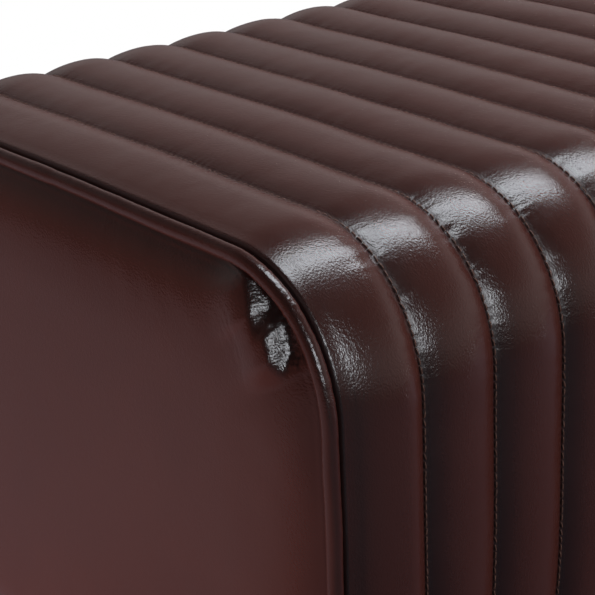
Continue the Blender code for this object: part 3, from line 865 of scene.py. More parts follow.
def build_end_panels(section):
    """Crowned leather panels for both ends: one swelled face, with its own creases at each end."""
    tree = swelled_panel(section)
    loop, middle = panel_outline(section, PANEL_STEP)
    high = np.abs(loop[:, 1] - middle).max()
    wide = np.linspace(FINE_RINGS[-1], high * INNER_RING, WIDE_RINGS + 1)[1:]
    inward = np.concatenate((FINE_RINGS, wide))
    count = len(loop)
    places = np.concatenate([panel_ring(loop, middle, step) for step in inward])
    reach, deep, power = RIM_FALL
    drawn_in = [panel_ring(loop, middle, max(step, reach)) for step in inward]
    swelled = face_height(tree, np.concatenate(drawn_in))
    swelled = swelled - deep * np.repeat(np.maximum(reach - inward, 0.0) / reach, count) ** power
    share, full, reach, power = WADDING
    wadding = full * (1 - np.exp(-((inward / reach) ** power)))
    swelled = share * swelled + np.repeat(wadding, count)
    inner, back = (len(inward) - 1) * count, len(places)
    faces = grid_faces(len(inward), count, closed=True)
    faces.append(list(range(inner, inner + count)))
    for place in range(count):
        after = (place + 1) % count
        faces.append([back + place, back + after, after, place])
    faces.append(list(range(back, back + count))[::-1])
    inward = np.repeat(inward, count)
    least, more, reach = PANEL_RUB_AND_SHADE
    # Low rub at the rim paints a darker band there, as shade.
    rub_and_shade = np.concatenate((least + more * np.clip(inward / reach, 0, 1), np.full(count, least)))
    made = {}
    for end, side in ENDS.items():
        creases, gathers = panel_creases(section, places, inward, side)
        x = np.concatenate((swelled + creases, np.full(count, -PANEL_BACK)))
        points = np.column_stack((side * (section.half_length + x), np.concatenate((places, loop))))
        made[end] = mesh_from(f"{end}_end_leather", points, faces)
        face_outward(made[end])
        point_values(made[end], "rub_and_shade", rub_and_shade)
        point_values(made[end], "gather", np.concatenate((gathers, np.zeros(count))))
    return made


# Folds of leather across the corners of each end panel: long side, height, how much it is gathered,
# and the faces of the fold, each with its place outward and upward from the middle of the corner,
# lean in degrees and half length.
FOLDS = {
    -1: (
        (-1, 0.0092, 1.0, ((0.0250, 0.0590, 31.0, 0.0105), (0.0405, 0.0430, 30.0, 0.0140))),
        (1, 0.0022, 0.3, ((0.0400, 0.0400, 45.0, 0.018),)),
    ),
    1: (
        (-1, 0.0030, 0.4, ((0.0410, 0.0390, 40.0, 0.018),)),
        (1, 0.0042, 0.5, ((0.0400, 0.0440, 34.0, 0.016),)),
    ),
}
# Lip of leather along the rim: height, distance from the rim and width.
LIP, LIP_INWARD, LIP_WIDTH = 0.0007, 0.0016, 0.0007
# Height of a panel's unevenness, its waves across and up in radians for each metre, and the distance
# from the rim at which it is full.
PANEL_UNEVEN, PANEL_WAVES, UNEVEN_INWARD = 0.00035, (17, 23), 0.03
# Edge of a fold's face: half width, curve, and size and wavelength of its raggedness.
FOLD_EDGE, FOLD_CURVE, FOLD_RAGGED = 0.0034, 9.0, (0.00015, 0.007)
# Where a fold's lower end starts and is full, and where its upper end starts to fade and is gone,
# from its half length.
FOLD_LOWER, FOLD_UPPER = (-0.012, 0.004), (-0.004, 0.018)
# Width of the roll over a fold's face and of the gathers at its edge, and where the pocket under it
# starts and is full.
ROLL_WIDTH, GATHER_WIDTH, POCKET_EDGE, POCKET_INWARD = 0.020, 0.006, (-0.0010, 0.0040), 0.003
# Shares of a fold's height in its roll and in its pocket, height of the crumples there, and how
# gathered it is.
ROLL_SHARE, POCKET_SHARE, CRUMPLE, POCKET_GATHER = 0.66, 0.34, 0.00065, 0.8
# Fine creases over a fold: distance from its edge, slant and depth; width of each.
FOLD_CREASES = ((0.024, 0.10, 0.00020), (0.027, 0.06, 0.00016), (0.030, 0.02, 0.00012))
CREASE_WIDTH = 0.0011


def crumples(out, up):
    """Small crossed waves of crumpled leather."""
    return np.sin(out * 1300 + 2.2 * np.sin(up * 500)) * np.sin(up * 1500 + 1.7 * np.sin(out * 700 + 1.0))


def panel_creases(section, places, inward, side):
    """Rolls, dents and folds at an end panel's upper corners, and how much its leather is gathered."""
    rng = np.random.default_rng(CREASE_SEED + side)
    across, upward = PANEL_WAVES
    height = PANEL_UNEVEN * np.sin(places[:, 0] * across + side) * np.sin(places[:, 1] * upward)
    height = height * np.clip(inward / UNEVEN_INWARD, 0, 1)
    height = height + LIP * hump(inward - LIP_INWARD, LIP_WIDTH)
    gathers = np.zeros(len(places))
    knots = np.linspace(-0.2, 0.2, 4000)
    rough, wavelength = FOLD_RAGGED
    for long_side, deep, gathered, faces in FOLDS[side]:
        out = long_side * places[:, 0] - section.flat
        up = places[:, 1] - section.shoulder
        inside, swell, pocket, near = np.ones(len(places)), 0.0, 0.0, 0.0
        for face_out, face_up, lean, reach in faces:
            cos, sin = math.cos(math.radians(lean)), math.sin(math.radians(lean))
            along = (up - face_up) * cos - (out - face_out) * sin
            ragged = rough * np.interp(along, knots, wave_line(rng, knots, wavelength))
            across = (out - face_out) * cos + (up - face_up) * sin + ragged + FOLD_CURVE * along**2
            around = soft_step(along, *(step - reach for step in FOLD_LOWER))
            around = around * (1 - soft_step(along, *(step + reach for step in FOLD_UPPER)))
            inside = inside * (1 - around * soft_step(across, -FOLD_EDGE, FOLD_EDGE))
            swell = np.maximum(swell, around * hump(np.maximum(-across - FOLD_EDGE, 0), ROLL_WIDTH))
            pocket = np.maximum(pocket, around * soft_step(across, *POCKET_EDGE))
            near = np.maximum(near, around * hump(across, GATHER_WIDTH))
        pocket = pocket * soft_step(inward, 0.0, POCKET_INWARD)
        height = height + ROLL_SHARE * deep * swell * inside - POCKET_SHARE * deep * pocket
        height = height + CRUMPLE * gathered * pocket * crumples(out, up)
        gathers = np.maximum(gathers, gathered * np.maximum(near, POCKET_GATHER * pocket))
        for start, slant, depth in FOLD_CREASES:
            track = across + start - slant * along - 0.0006 * np.sin(along * 260 + start * 900)
            height = height - depth * gathered * hump(track, CREASE_WIDTH) * around
    return height, gathers


# Padding, legs and dust cover


# How far the foam has settled under the cover, and the share of an end pad's thickness that its panel
# leaves it.
SETTLING, END_PAD_SHARE = 0.0045, 0.36
# Fineness of the seat's, the sides' and the ends' foam.
SEAT_VOXEL, SIDE_VOXEL, END_VOXEL = 0.010, 0.007, 0.005
# Legs: width of the foot as a share of the top, radius and steps of the eased edges, steps of the
# taper, and turns.
LEG_TAPER, LEG_EASE, EASE_STEPS, TAPER_STEPS, LEG_TURNS = 32 / 52, 0.002, 6, 12, 72
LEG_SHARP = math.radians(50)


def build_padding(name, node, voxel, *squeezes):
    """Softened copy of a foam solid, squeezed along some axes, each with its origin and factor."""
    source = NODES[node].data.copy()
    points = points_of(source)
    for axis, origin, factor in squeezes:
        points[:, axis] = origin + (points[:, axis] - origin) * factor
    set_points(source, points)
    weld = ("WELD", {"merge_threshold": 0.0001})
    remesh = ("REMESH", {"mode": "VOXEL", "voxel_size": voxel})
    soften = ("SMOOTH", {"factor": 0.5, "iterations": 4})
    made = shaped(source, weld, remesh, soften)
    made.name = name
    made.materials.clear()
    made.shade_smooth()
    return made


def turned_mesh(name, profile, turns):
    """Closed mesh turned about Z from a (radius, z) profile that starts and ends on the axis."""
    inner = [point for point in profile if point[0] > 0]
    angle = np.arange(turns) / turns * math.tau
    points = [(r * math.cos(a), r * math.sin(a), z) for r, z in inner for a in angle]
    faces = grid_faces(len(inner), turns, closed=True)
    points += [(0.0, 0.0, profile[0][1]), (0.0, 0.0, profile[-1][1])]
    low, high = len(points) - 2, len(points) - 1
    last = (len(inner) - 1) * turns
    for place in range(turns):
        after = (place + 1) % turns
        faces.append([low, after, place])
        faces.append([high, last + place, last + after])
    mesh = mesh_from(name, points, faces)
    face_outward(mesh)
    mesh.set_sharp_from_angle(angle=LEG_SHARP)
    return mesh


def build_leg():
    """Tapered turned leg with eased edges, about its own axis."""
    top = (LEG_HIGH.x - LEG_LOW.x) / 2
    foot = top * LEG_TAPER
    quarter = [math.pi / 2 * step / EASE_STEPS for step in range(EASE_STEPS + 1)]
    ease = [(LEG_EASE * math.sin(angle), LEG_EASE * math.cos(angle)) for angle in quarter]
    inner_low, inner_high = LEG_LOW.z + LEG_EASE, LEG_HIGH.z - LEG_EASE
    profile = [(0.0, LEG_LOW.z)]
    profile += [(foot - LEG_EASE + sine, inner_low - cosine) for sine, cosine in ease]
    for step in range(1, TAPER_STEPS):
        share = step / TAPER_STEPS
        z = inner_low + (LEG_HIGH.z - LEG_LOW.z - 2 * LEG_EASE) * share
        profile.append((blend(foot, top, share), z))
    profile += [(top - LEG_EASE + cosine, inner_high + sine) for sine, cosine in ease]
    profile.append((0.0, LEG_HIGH.z))
    return turned_mesh("turned_leg", profile, LEG_TURNS)


# Cloth: spacing of its mesh, gap round the legs, sag, and height and reach of the ripples between the
# staples.
HEM_STEP, LEG_GAP, SAG = 0.006, 0.0008, 0.004
RIPPLE, RIPPLE_REACH = 0.0005, 0.022
# Distance from the legs over which the sag and the ripples grow.
SAG_CLEAR, RIPPLE_CLEAR = 0.05, 0.03
# Staples: distance apart, from the cloth's edge and under the cloth, wire, turns round it and crown;
# spread of their turn.
STAPLE_PITCH, STAPLE_INSET, STAPLE_DROP = 0.045, 0.008, 0.0009
STAPLE_WIRE, STAPLE_TURNS, STAPLE_CROWN = 0.0009, 8, 0.009
STAPLE_SEED, STAPLE_SPREAD = 9, 0.12
# One staple along its crown: places in its length, and heights.
STAPLE_PLACES = (-0.5, -0.5, -0.42, 0.42, 0.5, 0.5)
STAPLE_HEIGHTS = (0.0020, 0.0004, -0.0004, -0.0004, 0.0004, 0.0020)


def build_dust_cover():
    """Thin cloth stretched over the underside, sagging a little, with holes for the legs."""
    half = np.array((DUST_HIGH.x, DUST_HIGH.y))
    counts = (2 * half / HEM_STEP).astype(int)
    xs, ys = (np.linspace(-reach, reach, count + 1) for reach, count in zip(half, counts))
    grid = np.stack(np.meshgrid(xs, ys, indexing="ij"), -1).reshape(-1, 2)
    holes = [np.array(((low.x + high.x) / 2, (low.y + high.y) / 2)) for low, high in map(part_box, LEG_NODES)]
    clear = (LEG_HIGH.x - LEG_LOW.x) / 2 + LEG_GAP
    faces = np.array(grid_faces(len(xs), len(ys)))
    middle = grid[faces].mean(1)
    away = np.min([np.hypot(*(middle - hole).T) for hole in holes], 0)
    faces = faces[away > clear]
    edges = np.sort(np.concatenate([faces[:, [k, (k + 1) % 4]] for k in range(4)]), 1)
    names, uses = np.unique(edges, axis=0, return_counts=True)
    border = np.unique(names[uses == 1])
    gap = np.full(len(grid), 1.0)
    for hole in holes:
        out = grid - hole
        length = np.maximum(np.hypot(*out.T), 1e-9)
        gap = np.minimum(gap, np.maximum(length - clear, 0.0))
        near = border[length[border] < clear + 2 * HEM_STEP]
        grid[near] = hole + out[near] / length[near, None] * clear
    edge = half - np.abs(grid)
    sag = SAG * np.prod(1 - (grid / half) ** 2, 1) * np.clip(gap / SAG_CLEAR, 0, 1)
    pull = np.cos(grid / STAPLE_PITCH * math.tau) * np.exp(-np.maximum(edge[:, ::-1], 0) / RIPPLE_REACH)
    ripple = RIPPLE * (1 - 0.5 * pull.sum(1)) * np.clip(gap / RIPPLE_CLEAR, 0, 1)
    z = DUST_LOW.z - sag - ripple
    used = np.unique(faces)
    renumber = np.zeros(len(grid), int)
    renumber[used] = np.arange(len(used))
    mesh = mesh_from("underside_cloth", np.column_stack((grid, z))[used], renumber[faces].tolist())
    thick = ("SOLIDIFY", {"thickness": DUST_HIGH.z - DUST_LOW.z, "offset": 0.0})
    made = shaped(mesh, thick)
    face_outward(made)
    made.shade_smooth()
    return made


def build_staples():
    """One mesh of staple crowns along the edges of the underside cloth."""
    x_reach, y_reach = DUST_HIGH.x - STAPLE_INSET, DUST_HIGH.y - STAPLE_INSET
    x_count, y_count = int(2 * x_reach / STAPLE_PITCH), int(2 * y_reach / STAPLE_PITCH) - 1
    x_places, y_places = ((np.arange(count) - (count - 1) / 2) * STAPLE_PITCH for count in (x_count, y_count))
    spots = [(x, y, 0.0) for y in (-y_reach, y_reach) for x in x_places]
    spots += [(x, y, math.pi / 2) for x in (-x_reach, x_reach) for y in y_places]
    rng = np.random.default_rng(STAPLE_SEED)
    radius = STAPLE_WIRE / 2
    angle = np.arange(STAPLE_TURNS) / STAPLE_TURNS * math.tau
    points, faces = [], []
    for x, y, turn in spots:
        turn += rng.normal(0, STAPLE_SPREAD)
        run = np.array((math.cos(turn), math.sin(turn)))
        cross = np.array((-run[1], run[0]))
        faces += tube_faces(len(STAPLE_PLACES), STAPLE_TURNS, len(points))
        for station, height in zip(STAPLE_PLACES, STAPLE_HEIGHTS):
            for a in angle:
                place = np.array((x, y)) + run * station * STAPLE_CROWN + cross * radius * math.cos(a)
                points.append((*place, DUST_LOW.z - STAPLE_DROP + height + radius * math.sin(a)))
    mesh = mesh_from("cloth_staples", points, faces)
    face_outward(mesh)
    return mesh


# Finishes


GRAIN_DEPTH = 0.00014
LEATHER_SPECULAR = 0.90
# Noises of the leather, each with its scale, detail and roughness, and the stretch of those that run
# one way.
CLOUDS, PATCHES, MICRO = (7.0, 4.0, 0.55), (45.0, 3.0, 0.5), (1700.0, 2.0, 0.5)
CREASES, CREASE_STRETCH = (230.0, 3.0, 0.55), (2.6, 1.0, 1.0)
RIPPLES, RIPPLE_STRETCH = (480.0, 2.0, 0.5), (0.3, 0.24, 1.0)
PEBBLE_SCALE, PEBBLE_STRETCH = 820.0, (1.3, 1.0, 1.0)
# Roughness of the leather, from smooth to rough patches, and what unrubbed leather adds.
SMOOTH_LEATHER, ROUGH_LEATHER, UNRUBBED = 0.19, 0.26, 0.22
# Part of most noises that is spread over the whole range of what it drives.
NOISE_LOW, NOISE_HIGH = 0.3, 0.7
# Stretch of wood along its grain.
GRAIN_STRETCH = 0.06
STEEL, BLACK_PLASTIC = (0.62, 0.63, 0.64), (0.02, 0.02, 0.02)
WHITE = (1.0, 1.0, 1.0, 1.0)


class Nodes:
    """Short way to write the nodes of a new material or world."""

    def __init__(self, owner):
        owner.use_nodes = True
        self.owner = owner
        self.tree = owner.node_tree
        self.shader = self.tree.nodes.get("Principled BSDF")

    def add(self, kind, settings=None, **inputs):
        """Add a node, set its properties and feed its inputs with values or sockets."""
        node = self.tree.nodes.new(kind)
        for key, value in (settings or {}).items():
            setattr(node, key, value)
        for key, value in inputs.items():
            self.feed(node, key.replace("_", " "), value)
        return node

    def feed(self, node, key, value):
        """Give one input of a node, by name or number, a value or a link."""
        if isinstance(value, bpy.types.NodeSocket):
            self.tree.links.new(value, node.inputs[key])
        else:
            node.inputs[key].default_value = value

    def fed(self, kind, settings, *values):
        """First output of a new node whose inputs are fed in order."""
        node = self.add(kind, settings)
        for place, value in enumerate(values):
            self.feed(node, place, value)
        return node.outputs[0]

    def math(self, operation, *values):
        """Arithmetic on one or two numbers."""
        return self.fed("ShaderNodeMath", {"operation": operation}, *values)

    def total(self, *parts):
        """Sum of numbers, each times its weight."""
        first, *others = [self.math("MULTIPLY", value, weight) for value, weight in parts]
        for other in others:
            first = self.math("ADD", first, other)
        return first

    def ridges(self, noise):
        """Noise folded at its middle."""
        return self.math("ABSOLUTE", self.math("SUBTRACT", noise, 0.5))

    def mix(self, factor, first, second):
        """Mix of two colours."""
        node = self.add("ShaderNodeMix", {"data_type": "RGBA"})
        self.feed(node, 0, factor)
        for place, value in ((6, first), (7, second)):
            self.feed(node, place, (*value, 1.0) if isinstance(value, tuple) else value)
        return node.outputs[2]

    def choose(self, factor, first, second):
        """Mix of two shaders."""
        return self.fed("ShaderNodeMixShader", None, factor, first, second)

    def ramp(self, value, low, high, to_low=0.0, to_high=1.0):
        """Value moved from one range to another and held there."""
        return self.fed("ShaderNodeMapRange", {"clamp": True}, value, low, high, to_low, to_high)

    def spread(self, noise, to_low=0.0, to_high=1.0):
        """Noise spread over a range."""
        return self.ramp(noise, NOISE_LOW, NOISE_HIGH, to_low, to_high)

    def place(self, scale=(1.0, 1.0, 1.0)):
        """Object coordinates, stretched."""
        source = self.add("ShaderNodeTexCoord").outputs["Object"]
        return self.add("ShaderNodeMapping", Vector=source, Scale=scale).outputs[0]

    def noise(self, vector, scale, detail, roughness):
        """Cloudy noise from 0 to 1."""
        inputs = {"Vector": vector, "Scale": scale, "Detail": detail, "Roughness": roughness}
        return self.add("ShaderNodeTexNoise", **inputs).outputs[0]

    def attribute(self, name):
        """Number kept at the points of a mesh."""
        return self.add("ShaderNodeAttribute", {"attribute_name": name}).outputs["Fac"]

    def bump(self, height, distance, strength=1.0):
        """Surface normal from a height of about one unit."""
        return self.add("ShaderNodeBump", Height=height, Distance=distance, Strength=strength).outputs[0]

    def set(self, **inputs):
        """Set inputs of the shader."""
        for key, value in inputs.items():
            self.feed(self.shader, key.replace("_", " "), value)

    def end(self, shader):
        """Show a shader."""
        output = next(node for node in self.tree.nodes if "Surface" in node.inputs)
        self.feed(output, "Surface", shader)


def colour(value):
    """Colour of a property as a tuple."""
    return tuple(value)


def scaled(tint, *shares):
    """Colour with its parts made darker or brighter, and held below white."""
    return tuple(min(1.0, part * share) for part, share in zip(tint, shares))


def leather_finish(name, finishes):
    """Semi-gloss leather: cloudy brown with rubbed crests and painted shade in its seams and at its rims, a
    pebbled grain and fine creases.
    """
    n = Nodes(bpy.data.materials.new(name))
    place = n.place()
    pebbles = n.add(
        "ShaderNodeTexVoronoi",
        {"feature": "SMOOTH_F1"},
        Vector=n.place(PEBBLE_STRETCH),
        Scale=PEBBLE_SCALE,
        Smoothness=0.6,
    ).outputs[0]
    creases = n.ridges(n.noise(n.place(CREASE_STRETCH), *CREASES))
    ripples = n.ridges(n.noise(n.place(RIPPLE_STRETCH), *RIPPLES))
    cloud, patch, micro = (n.noise(place, *kind) for kind in (CLOUDS, PATCHES, MICRO))
    rub_and_shade = n.attribute("rub_and_shade")
    # Tone from random clouds and patches and from the rub mask, whose low values paint the seams, the piping
    # and the panel rims darker as shade.
    tone = n.total((cloud, 0.5), (rub_and_shade, 0.6), (patch, 0.2))
    base = n.mix(n.ramp(tone, 0.3, 1.0), colour(finishes.leather_deep_and_shade), colour(finishes.leather))
    gathered = n.math("MULTIPLY", ripples, n.attribute("gather"))
    height = n.total((pebbles, -0.7), (creases, 1.8), (micro, 0.15), (gathered, 2.6))
    rough = n.spread(n.total((patch, 0.5), (micro, 0.5)), SMOOTH_LEATHER, ROUGH_LEATHER)
    rough = n.math("ADD", rough, n.ramp(rub_and_shade, 0.04, 0.30, UNRUBBED, 0.0))
    normal = n.bump(height, GRAIN_DEPTH)
    n.set(Base_Color=base, Roughness=rough, Specular_IOR_Level=LEATHER_SPECULAR, Normal=normal)
    return n.owner


def plain_finish(name, tint, roughness, scale, spread, distance, metallic=0.0, specular=0.5):
    """Finish with a cloudy colour, a varying gloss and a fine grain."""
    n = Nodes(bpy.data.materials.new(name))
    place = n.place()
    cloud = n.noise(place, scale, 4.0, 0.6)
    fine = n.noise(place, scale * 14, 3.0, 0.6)
    dark, light = (scaled(tint, *[share] * 3) for share in (1 - spread, 1 + spread))
    n.set(
        Base_Color=n.mix(n.spread(cloud), dark, light),
        Roughness=n.spread(fine, roughness - 0.06, roughness + 0.06),
        Normal=n.bump(fine, distance, 0.7),
        Metallic=metallic,
        Specular_IOR_Level=specular,
    )
    return n.owner


def wood_finish(name, tint, grain_axis, roughness, coat):
    """Wood with long grain along one axis, growth bands and small pores."""
    n = Nodes(bpy.data.materials.new(name))
    place = n.place(tuple(GRAIN_STRETCH if axis == grain_axis else 1.0 for axis in range(3)))
    bands = n.noise(place, 42.0, 5.0, 0.62)
    fibre = n.noise(place, 420.0, 3.0, 0.6)
    dark, light = (scaled(tint, *[share] * 3) for share in (0.55, 1.35))
    tone = n.total((bands, 0.75), (fibre, 0.25))
    n.set(
        Base_Color=n.mix(n.ramp(tone, 0.32, 0.68), dark, light),
        Roughness=n.spread(fibre, roughness - 0.05, roughness + 0.07),
        Normal=n.bump(n.math("ADD", fibre, n.math("MULTIPLY", bands, 0.5)), 0.0002, 0.5),
        Coat_Weight=coat,
        Coat_Roughness=0.2,
    )
    return n.owner


def dress_nodes(material, *names):
    """Give CAD nodes a finish in all their material slots."""
    for name in names:
        data = NODES[name].data
        if not data.materials:
            data.materials.append(material)
        for place in range(len(data.materials)):
            data.materials[place] = material


def leather(context, name="brown_leather"):
    """The leather of the bench, made once."""
    found = bpy.data.materials.get(name)
    return found or leather_finish(name, context.scene.bench_finishes)


# Operators


class BENCH_OT_quilted_cover(bpy.types.Operator):
    """Add the channel-quilted cover and the stitches of its seams."""

    bl_idname = "leather_bench.quilted_cover"
    bl_label = "Quilted cover"

    def execute(self, context):
        section = Section(context.scene.bench_quilt)
        mesh, seat = build_cover(section)
        cover = add_piece("quilted_cover", mesh, leather(context), "leather", "channel_cover")
        tint = colour(context.scene.bench_finishes.thread)
        thread = plain_finish("sewing_thread", tint, 0.55, 400.0, 0.4, 0.00008, specular=0.4)
        add_piece("seam_stitches", build_stitches(section, seat), thread, "leather")
        return {"FINISHED"}


class BENCH_OT_end_panels(bpy.types.Operator):
    """Add the crowned leather panels at both ends."""

    bl_idname = "leather_bench.end_panels"
    bl_label = "End panels"

    def execute(self, context):
        section = Section(context.scene.bench_quilt, turned_under=False)
        for end, mesh in build_end_panels(section).items():
            mesh.materials.clear()
            panel = add_piece(f"{end}_end_leather", mesh, leather(context), "leather", f"{end}_end_panel")
        return {"FINISHED"}


class BENCH_OT_piping(bpy.types.Operator):
    """Add the piping round both ends."""

    bl_idname = "leather_bench.piping"
    bl_label = "Piping"

    def execute(self, context):
        section = Section(context.scene.bench_quilt, turned_under=False)
        for end, side in ENDS.items():
            mesh = build_piping(f"{end}_welt", section, side)
            add_piece(f"{end}_welt", mesh, leather(context), "leather", f"{end}_piping")
        return {"FINISHED"}


class BENCH_OT_padding(bpy.types.Operator):
    """Add the foam under the leather."""

    bl_idname = "leather_bench.padding"
    bl_label = "Padding"

    def execute(self, context):
        foam = plain_finish("cream_foam", colour(context.scene.bench_finishes.foam), 0.95, 60.0, 0.12, 0.0004)
        low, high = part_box("seat_foam")
        lower = (2, low.z, 1 - SETTLING / (high.z - low.z))
        narrower = (1, 0.0, 1 - SETTLING / high.y)
        pads = [("seat_padding", "seat_foam", SEAT_VOXEL, lower, narrower)]
        for name, side in (("front", -1), ("back", 1)):
            low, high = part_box(f"{name}_foam")
            thinner = (1, low.y if side > 0 else high.y, 1 - SETTLING / (high.y - low.y))
            pads.append((f"{name}_padding", f"{name}_foam", SIDE_VOXEL, thinner))
        for end, side in ENDS.items():
            low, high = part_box(f"{end}_end_pad")
            thinner = (0, low.x if side > 0 else high.x, END_PAD_SHARE)
            pads.append((f"{end}_end_padding", f"{end}_end_pad", END_VOXEL, thinner))
        for name, node, voxel, *squeezes in pads:
            mesh = build_padding(name, node, voxel, *squeezes)
            add_piece(name, mesh, foam, "foam", node)
        return {"FINISHED"}


class BENCH_OT_timber_box(bpy.types.Operator):
    """Finish the plywood, the battens and the leg blocks of the frame."""

    bl_idname = "leather_bench.timber_box"
    bl_label = "Timber box"

    def execute(self, context):
        finishes = context.scene.bench_finishes
        along = wood_finish("birch_plywood_long", colour(finishes.plywood), 0, 0.62, 0.0)
        across = wood_finish("birch_plywood_cross", colour(finishes.plywood), 1, 0.62, 0.0)
        upright = wood_finish("softwood_battens", colour(finishes.softwood), 2, 0.68, 0.0)
        blocks = wood_finish("softwood_blocks", colour(finishes.softwood), 0, 0.68, 0.0)
        dress_nodes(along, "seat_deck", "front_board", "back_board")
        dress_nodes(across, "left_board", "right_board", "cross_brace_1", "cross_brace_2")
        dress_nodes(upright, *(f"corner_post_{corner}" for corner in CORNERS))
        dress_nodes(blocks, *(f"leg_block_{corner}" for corner in CORNERS))
        return {"FINISHED"}


class BENCH_OT_legs(bpy.types.Operator):
    """Add the turned legs and finish their plates, bolts and glides."""

    bl_idname = "leather_bench.legs"
    bl_label = "Legs"

    def execute(self, context):
        finishes = context.scene.bench_finishes
        stained = wood_finish("dark_stained_wood", colour(finishes.leg), 2, 0.36, 0.35)
        zinc = plain_finish("zinc_plate", STEEL, 0.36, 160.0, 0.12, 0.00005, 1.0)
        nylon = plain_finish("black_nylon", BLACK_PLASTIC, 0.55, 300.0, 0.2, 0.00008)
        for corner in CORNERS:
            low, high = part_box(f"leg_{corner}")
            mesh = build_leg()
            mesh.transform(Matrix.Translation(((low.x + high.x) / 2, (low.y + high.y) / 2, 0.0)))
            add_piece(f"turned_leg_{corner}", mesh, stained, "leg_wood", f"leg_{corner}")
            dress_nodes(zinc, f"leg_plate_{corner}", f"hanger_bolt_{corner}")
            dress_nodes(nylon, f"glide_{corner}")
        return {"FINISHED"}


class BENCH_OT_dust_cover(bpy.types.Operator):
    """Add the cloth over the underside and its staples."""

    bl_idname = "leather_bench.dust_cover"
    bl_label = "Dust cover"

    def execute(self, context):
        tint = colour(context.scene.bench_finishes.cloth)
        woven = plain_finish("black_nonwoven", tint, 0.85, 500.0, 0.35, 0.0002)
        cloth = add_piece("underside_cloth", build_dust_cover(), woven, "dust_cloth", "dust_cover")
        wire = plain_finish("staple_wire", STEEL, 0.32, 160.0, 0.12, 0.00003, 1.0)
        staples = add_piece("cloth_staples", build_staples(), wire, "steel")
        return {"FINISHED"}


class BENCH_OT_stage(bpy.types.Operator):
    """Add the floor, the lamps, the world and the camera."""

    bl_idname = "leather_bench.stage"
    bl_label = "Stage"

    def execute(self, context):
        scene = context.scene
        add_floor(colour(scene.bench_finishes.floor))
        light_world(scene)
        for lamp in LAMPS:
            add_lamp(*lamp)
        add_camera(scene)
        scene.view_settings.view_transform = "Standard"
        return {"FINISHED"}


# Stage


WARM = (1.0, 0.96, 0.92)
# Each lamp: name, shape, place, aim, size, power, colour, and what it lights: matt light, gloss or
# both.
LAMPS = (
    (
        "overhead_softbox", "RECTANGLE", (0.24, -0.04, 2.03), (0.24, -0.04, 0.0), (1.94, 0.56),
        21.0, (0.88, 0.94, 1.0), "both",
    ),
    (
        "front_softbox", "ELLIPSE", (-1.52, -2.10, 1.45), (-0.45, -0.25, 0.36), (0.72, 1.35),
        17.0, (0.90, 0.95, 1.0), "gloss",
    ),
    (
        "back_right_fill", "RECTANGLE", (3.34, 2.60, 2.24), (-0.30, 0.0, 0.43), (2.0, 2.0),
        390.0, WARM, "matt",
    ),
    (
        "front_right_fill", "RECTANGLE", (2.78, -2.81, 0.38), (-0.30, -0.25, 0.30), (1.5, 1.0),
        110.0, WARM, "matt",
    ),
    (
        "low_left_fill", "RECTANGLE", (-1.30, 0.02, -0.35), (-0.61, 0.0, 0.30), (0.50, 0.40),
        12.2, (1.0, 0.97, 0.94), "matt",
    ),
)
# Even light on matt surfaces from all round.
SOFT_LIGHT = 0.125
FLOOR_TURNS, FLOOR_RADIUS = 96, 7.0
# Distances from the middle between which the floor fades into the white background.
FLOOR_NEAR, FLOOR_FAR = 1.0, 1.75
# Share of the floor's colour that rays other than the camera's see, left of the bench and elsewhere, and the
# places along the bench between which it changes. These shares are painted light and shade for reflections
# and bounced light: that floor is darker than the pale floor the camera sees, and lighter and bluer left of
# the bench, where the left end reflects it.
DIM_LEFT, DIM_RIGHT = (0.21, 0.225, 0.26), (0.145, 0.15, 0.185)
DIM_FROM, DIM_TO = -0.92, -0.66
# What gloss reflects of the room: brightness at a height over the horizon, as the sine of its angle.
ROOM = ((0.0, 0.18), (0.12, 0.26), (0.30, 0.31), (0.50, 0.18), (0.70, 0.08))
# Strength of that room to the left and to the right, and the sine of the angle at which these are
# reached.
ROOM_LEFT, ROOM_RIGHT, ROOM_ACROSS = 0.10, 1.15, 0.7
# Camera of the photograph, with its angles in degrees and its lens in millimetres.
CAMERA_PLACE = (-1.1395, -0.9193, 0.7794)
CAMERA_YAW, CAMERA_PITCH, CAMERA_ROLL = 37.348, 21.667, 2.724
CAMERA_LENS = 117.78


def add_floor(tint):
    """Pale floor that fades into the white background and lets the low lamp shine through."""
    angle = np.arange(FLOOR_TURNS) / FLOOR_TURNS * math.tau
    points = [(0.0, 0.0, 0.0)]
    points += [(FLOOR_RADIUS * math.cos(a), FLOOR_RADIUS * math.sin(a), 0.0) for a in angle]
    faces = [(0, 1 + place, 1 + (place + 1) % FLOOR_TURNS) for place in range(FLOOR_TURNS)]
    floor = bpy.data.objects.new("studio_floor", mesh_from("studio_floor", points, faces, smooth=False))
    bpy.context.scene.collection.objects.link(floor)
    n = Nodes(bpy.data.materials.new("studio_floor"))
    place = n.place()
    away = n.add("ShaderNodeVectorMath", {"operation": "LENGTH"})
    n.feed(away, 0, place)
    fade = n.ramp(away.outputs["Value"], FLOOR_NEAR, FLOOR_FAR)
    path = n.add("ShaderNodeLightPath").outputs
    seen = n.math("MAXIMUM", path["Is Camera Ray"], path["Is Transmission Ray"])
    across = n.add("ShaderNodeSeparateXYZ", Vector=place).outputs["X"]
    # Painted light and shade in the floor's colour for rays other than the camera's: darker overall, lighter
    # and bluer left of the bench.
    dim = n.mix(n.ramp(across, DIM_FROM, DIM_TO), scaled(tint, *DIM_LEFT), scaled(tint, *DIM_RIGHT))
    n.set(Base_Color=n.mix(seen, dim, tint), Roughness=0.9, Specular_IOR_Level=0.1)
    white = n.add("ShaderNodeEmission", Color=WHITE, Strength=1.0).outputs[0]
    shown = n.choose(n.math("MULTIPLY", seen, fade), n.shader.outputs[0], white)
    behind = n.add("ShaderNodeNewGeometry").outputs["Backfacing"]
    clear = n.add("ShaderNodeBsdfTransparent").outputs[0]
    n.end(n.choose(n.math("MAXIMUM", behind, path["Is Shadow Ray"]), shown, clear))
    floor.data.materials.append(n.owner)


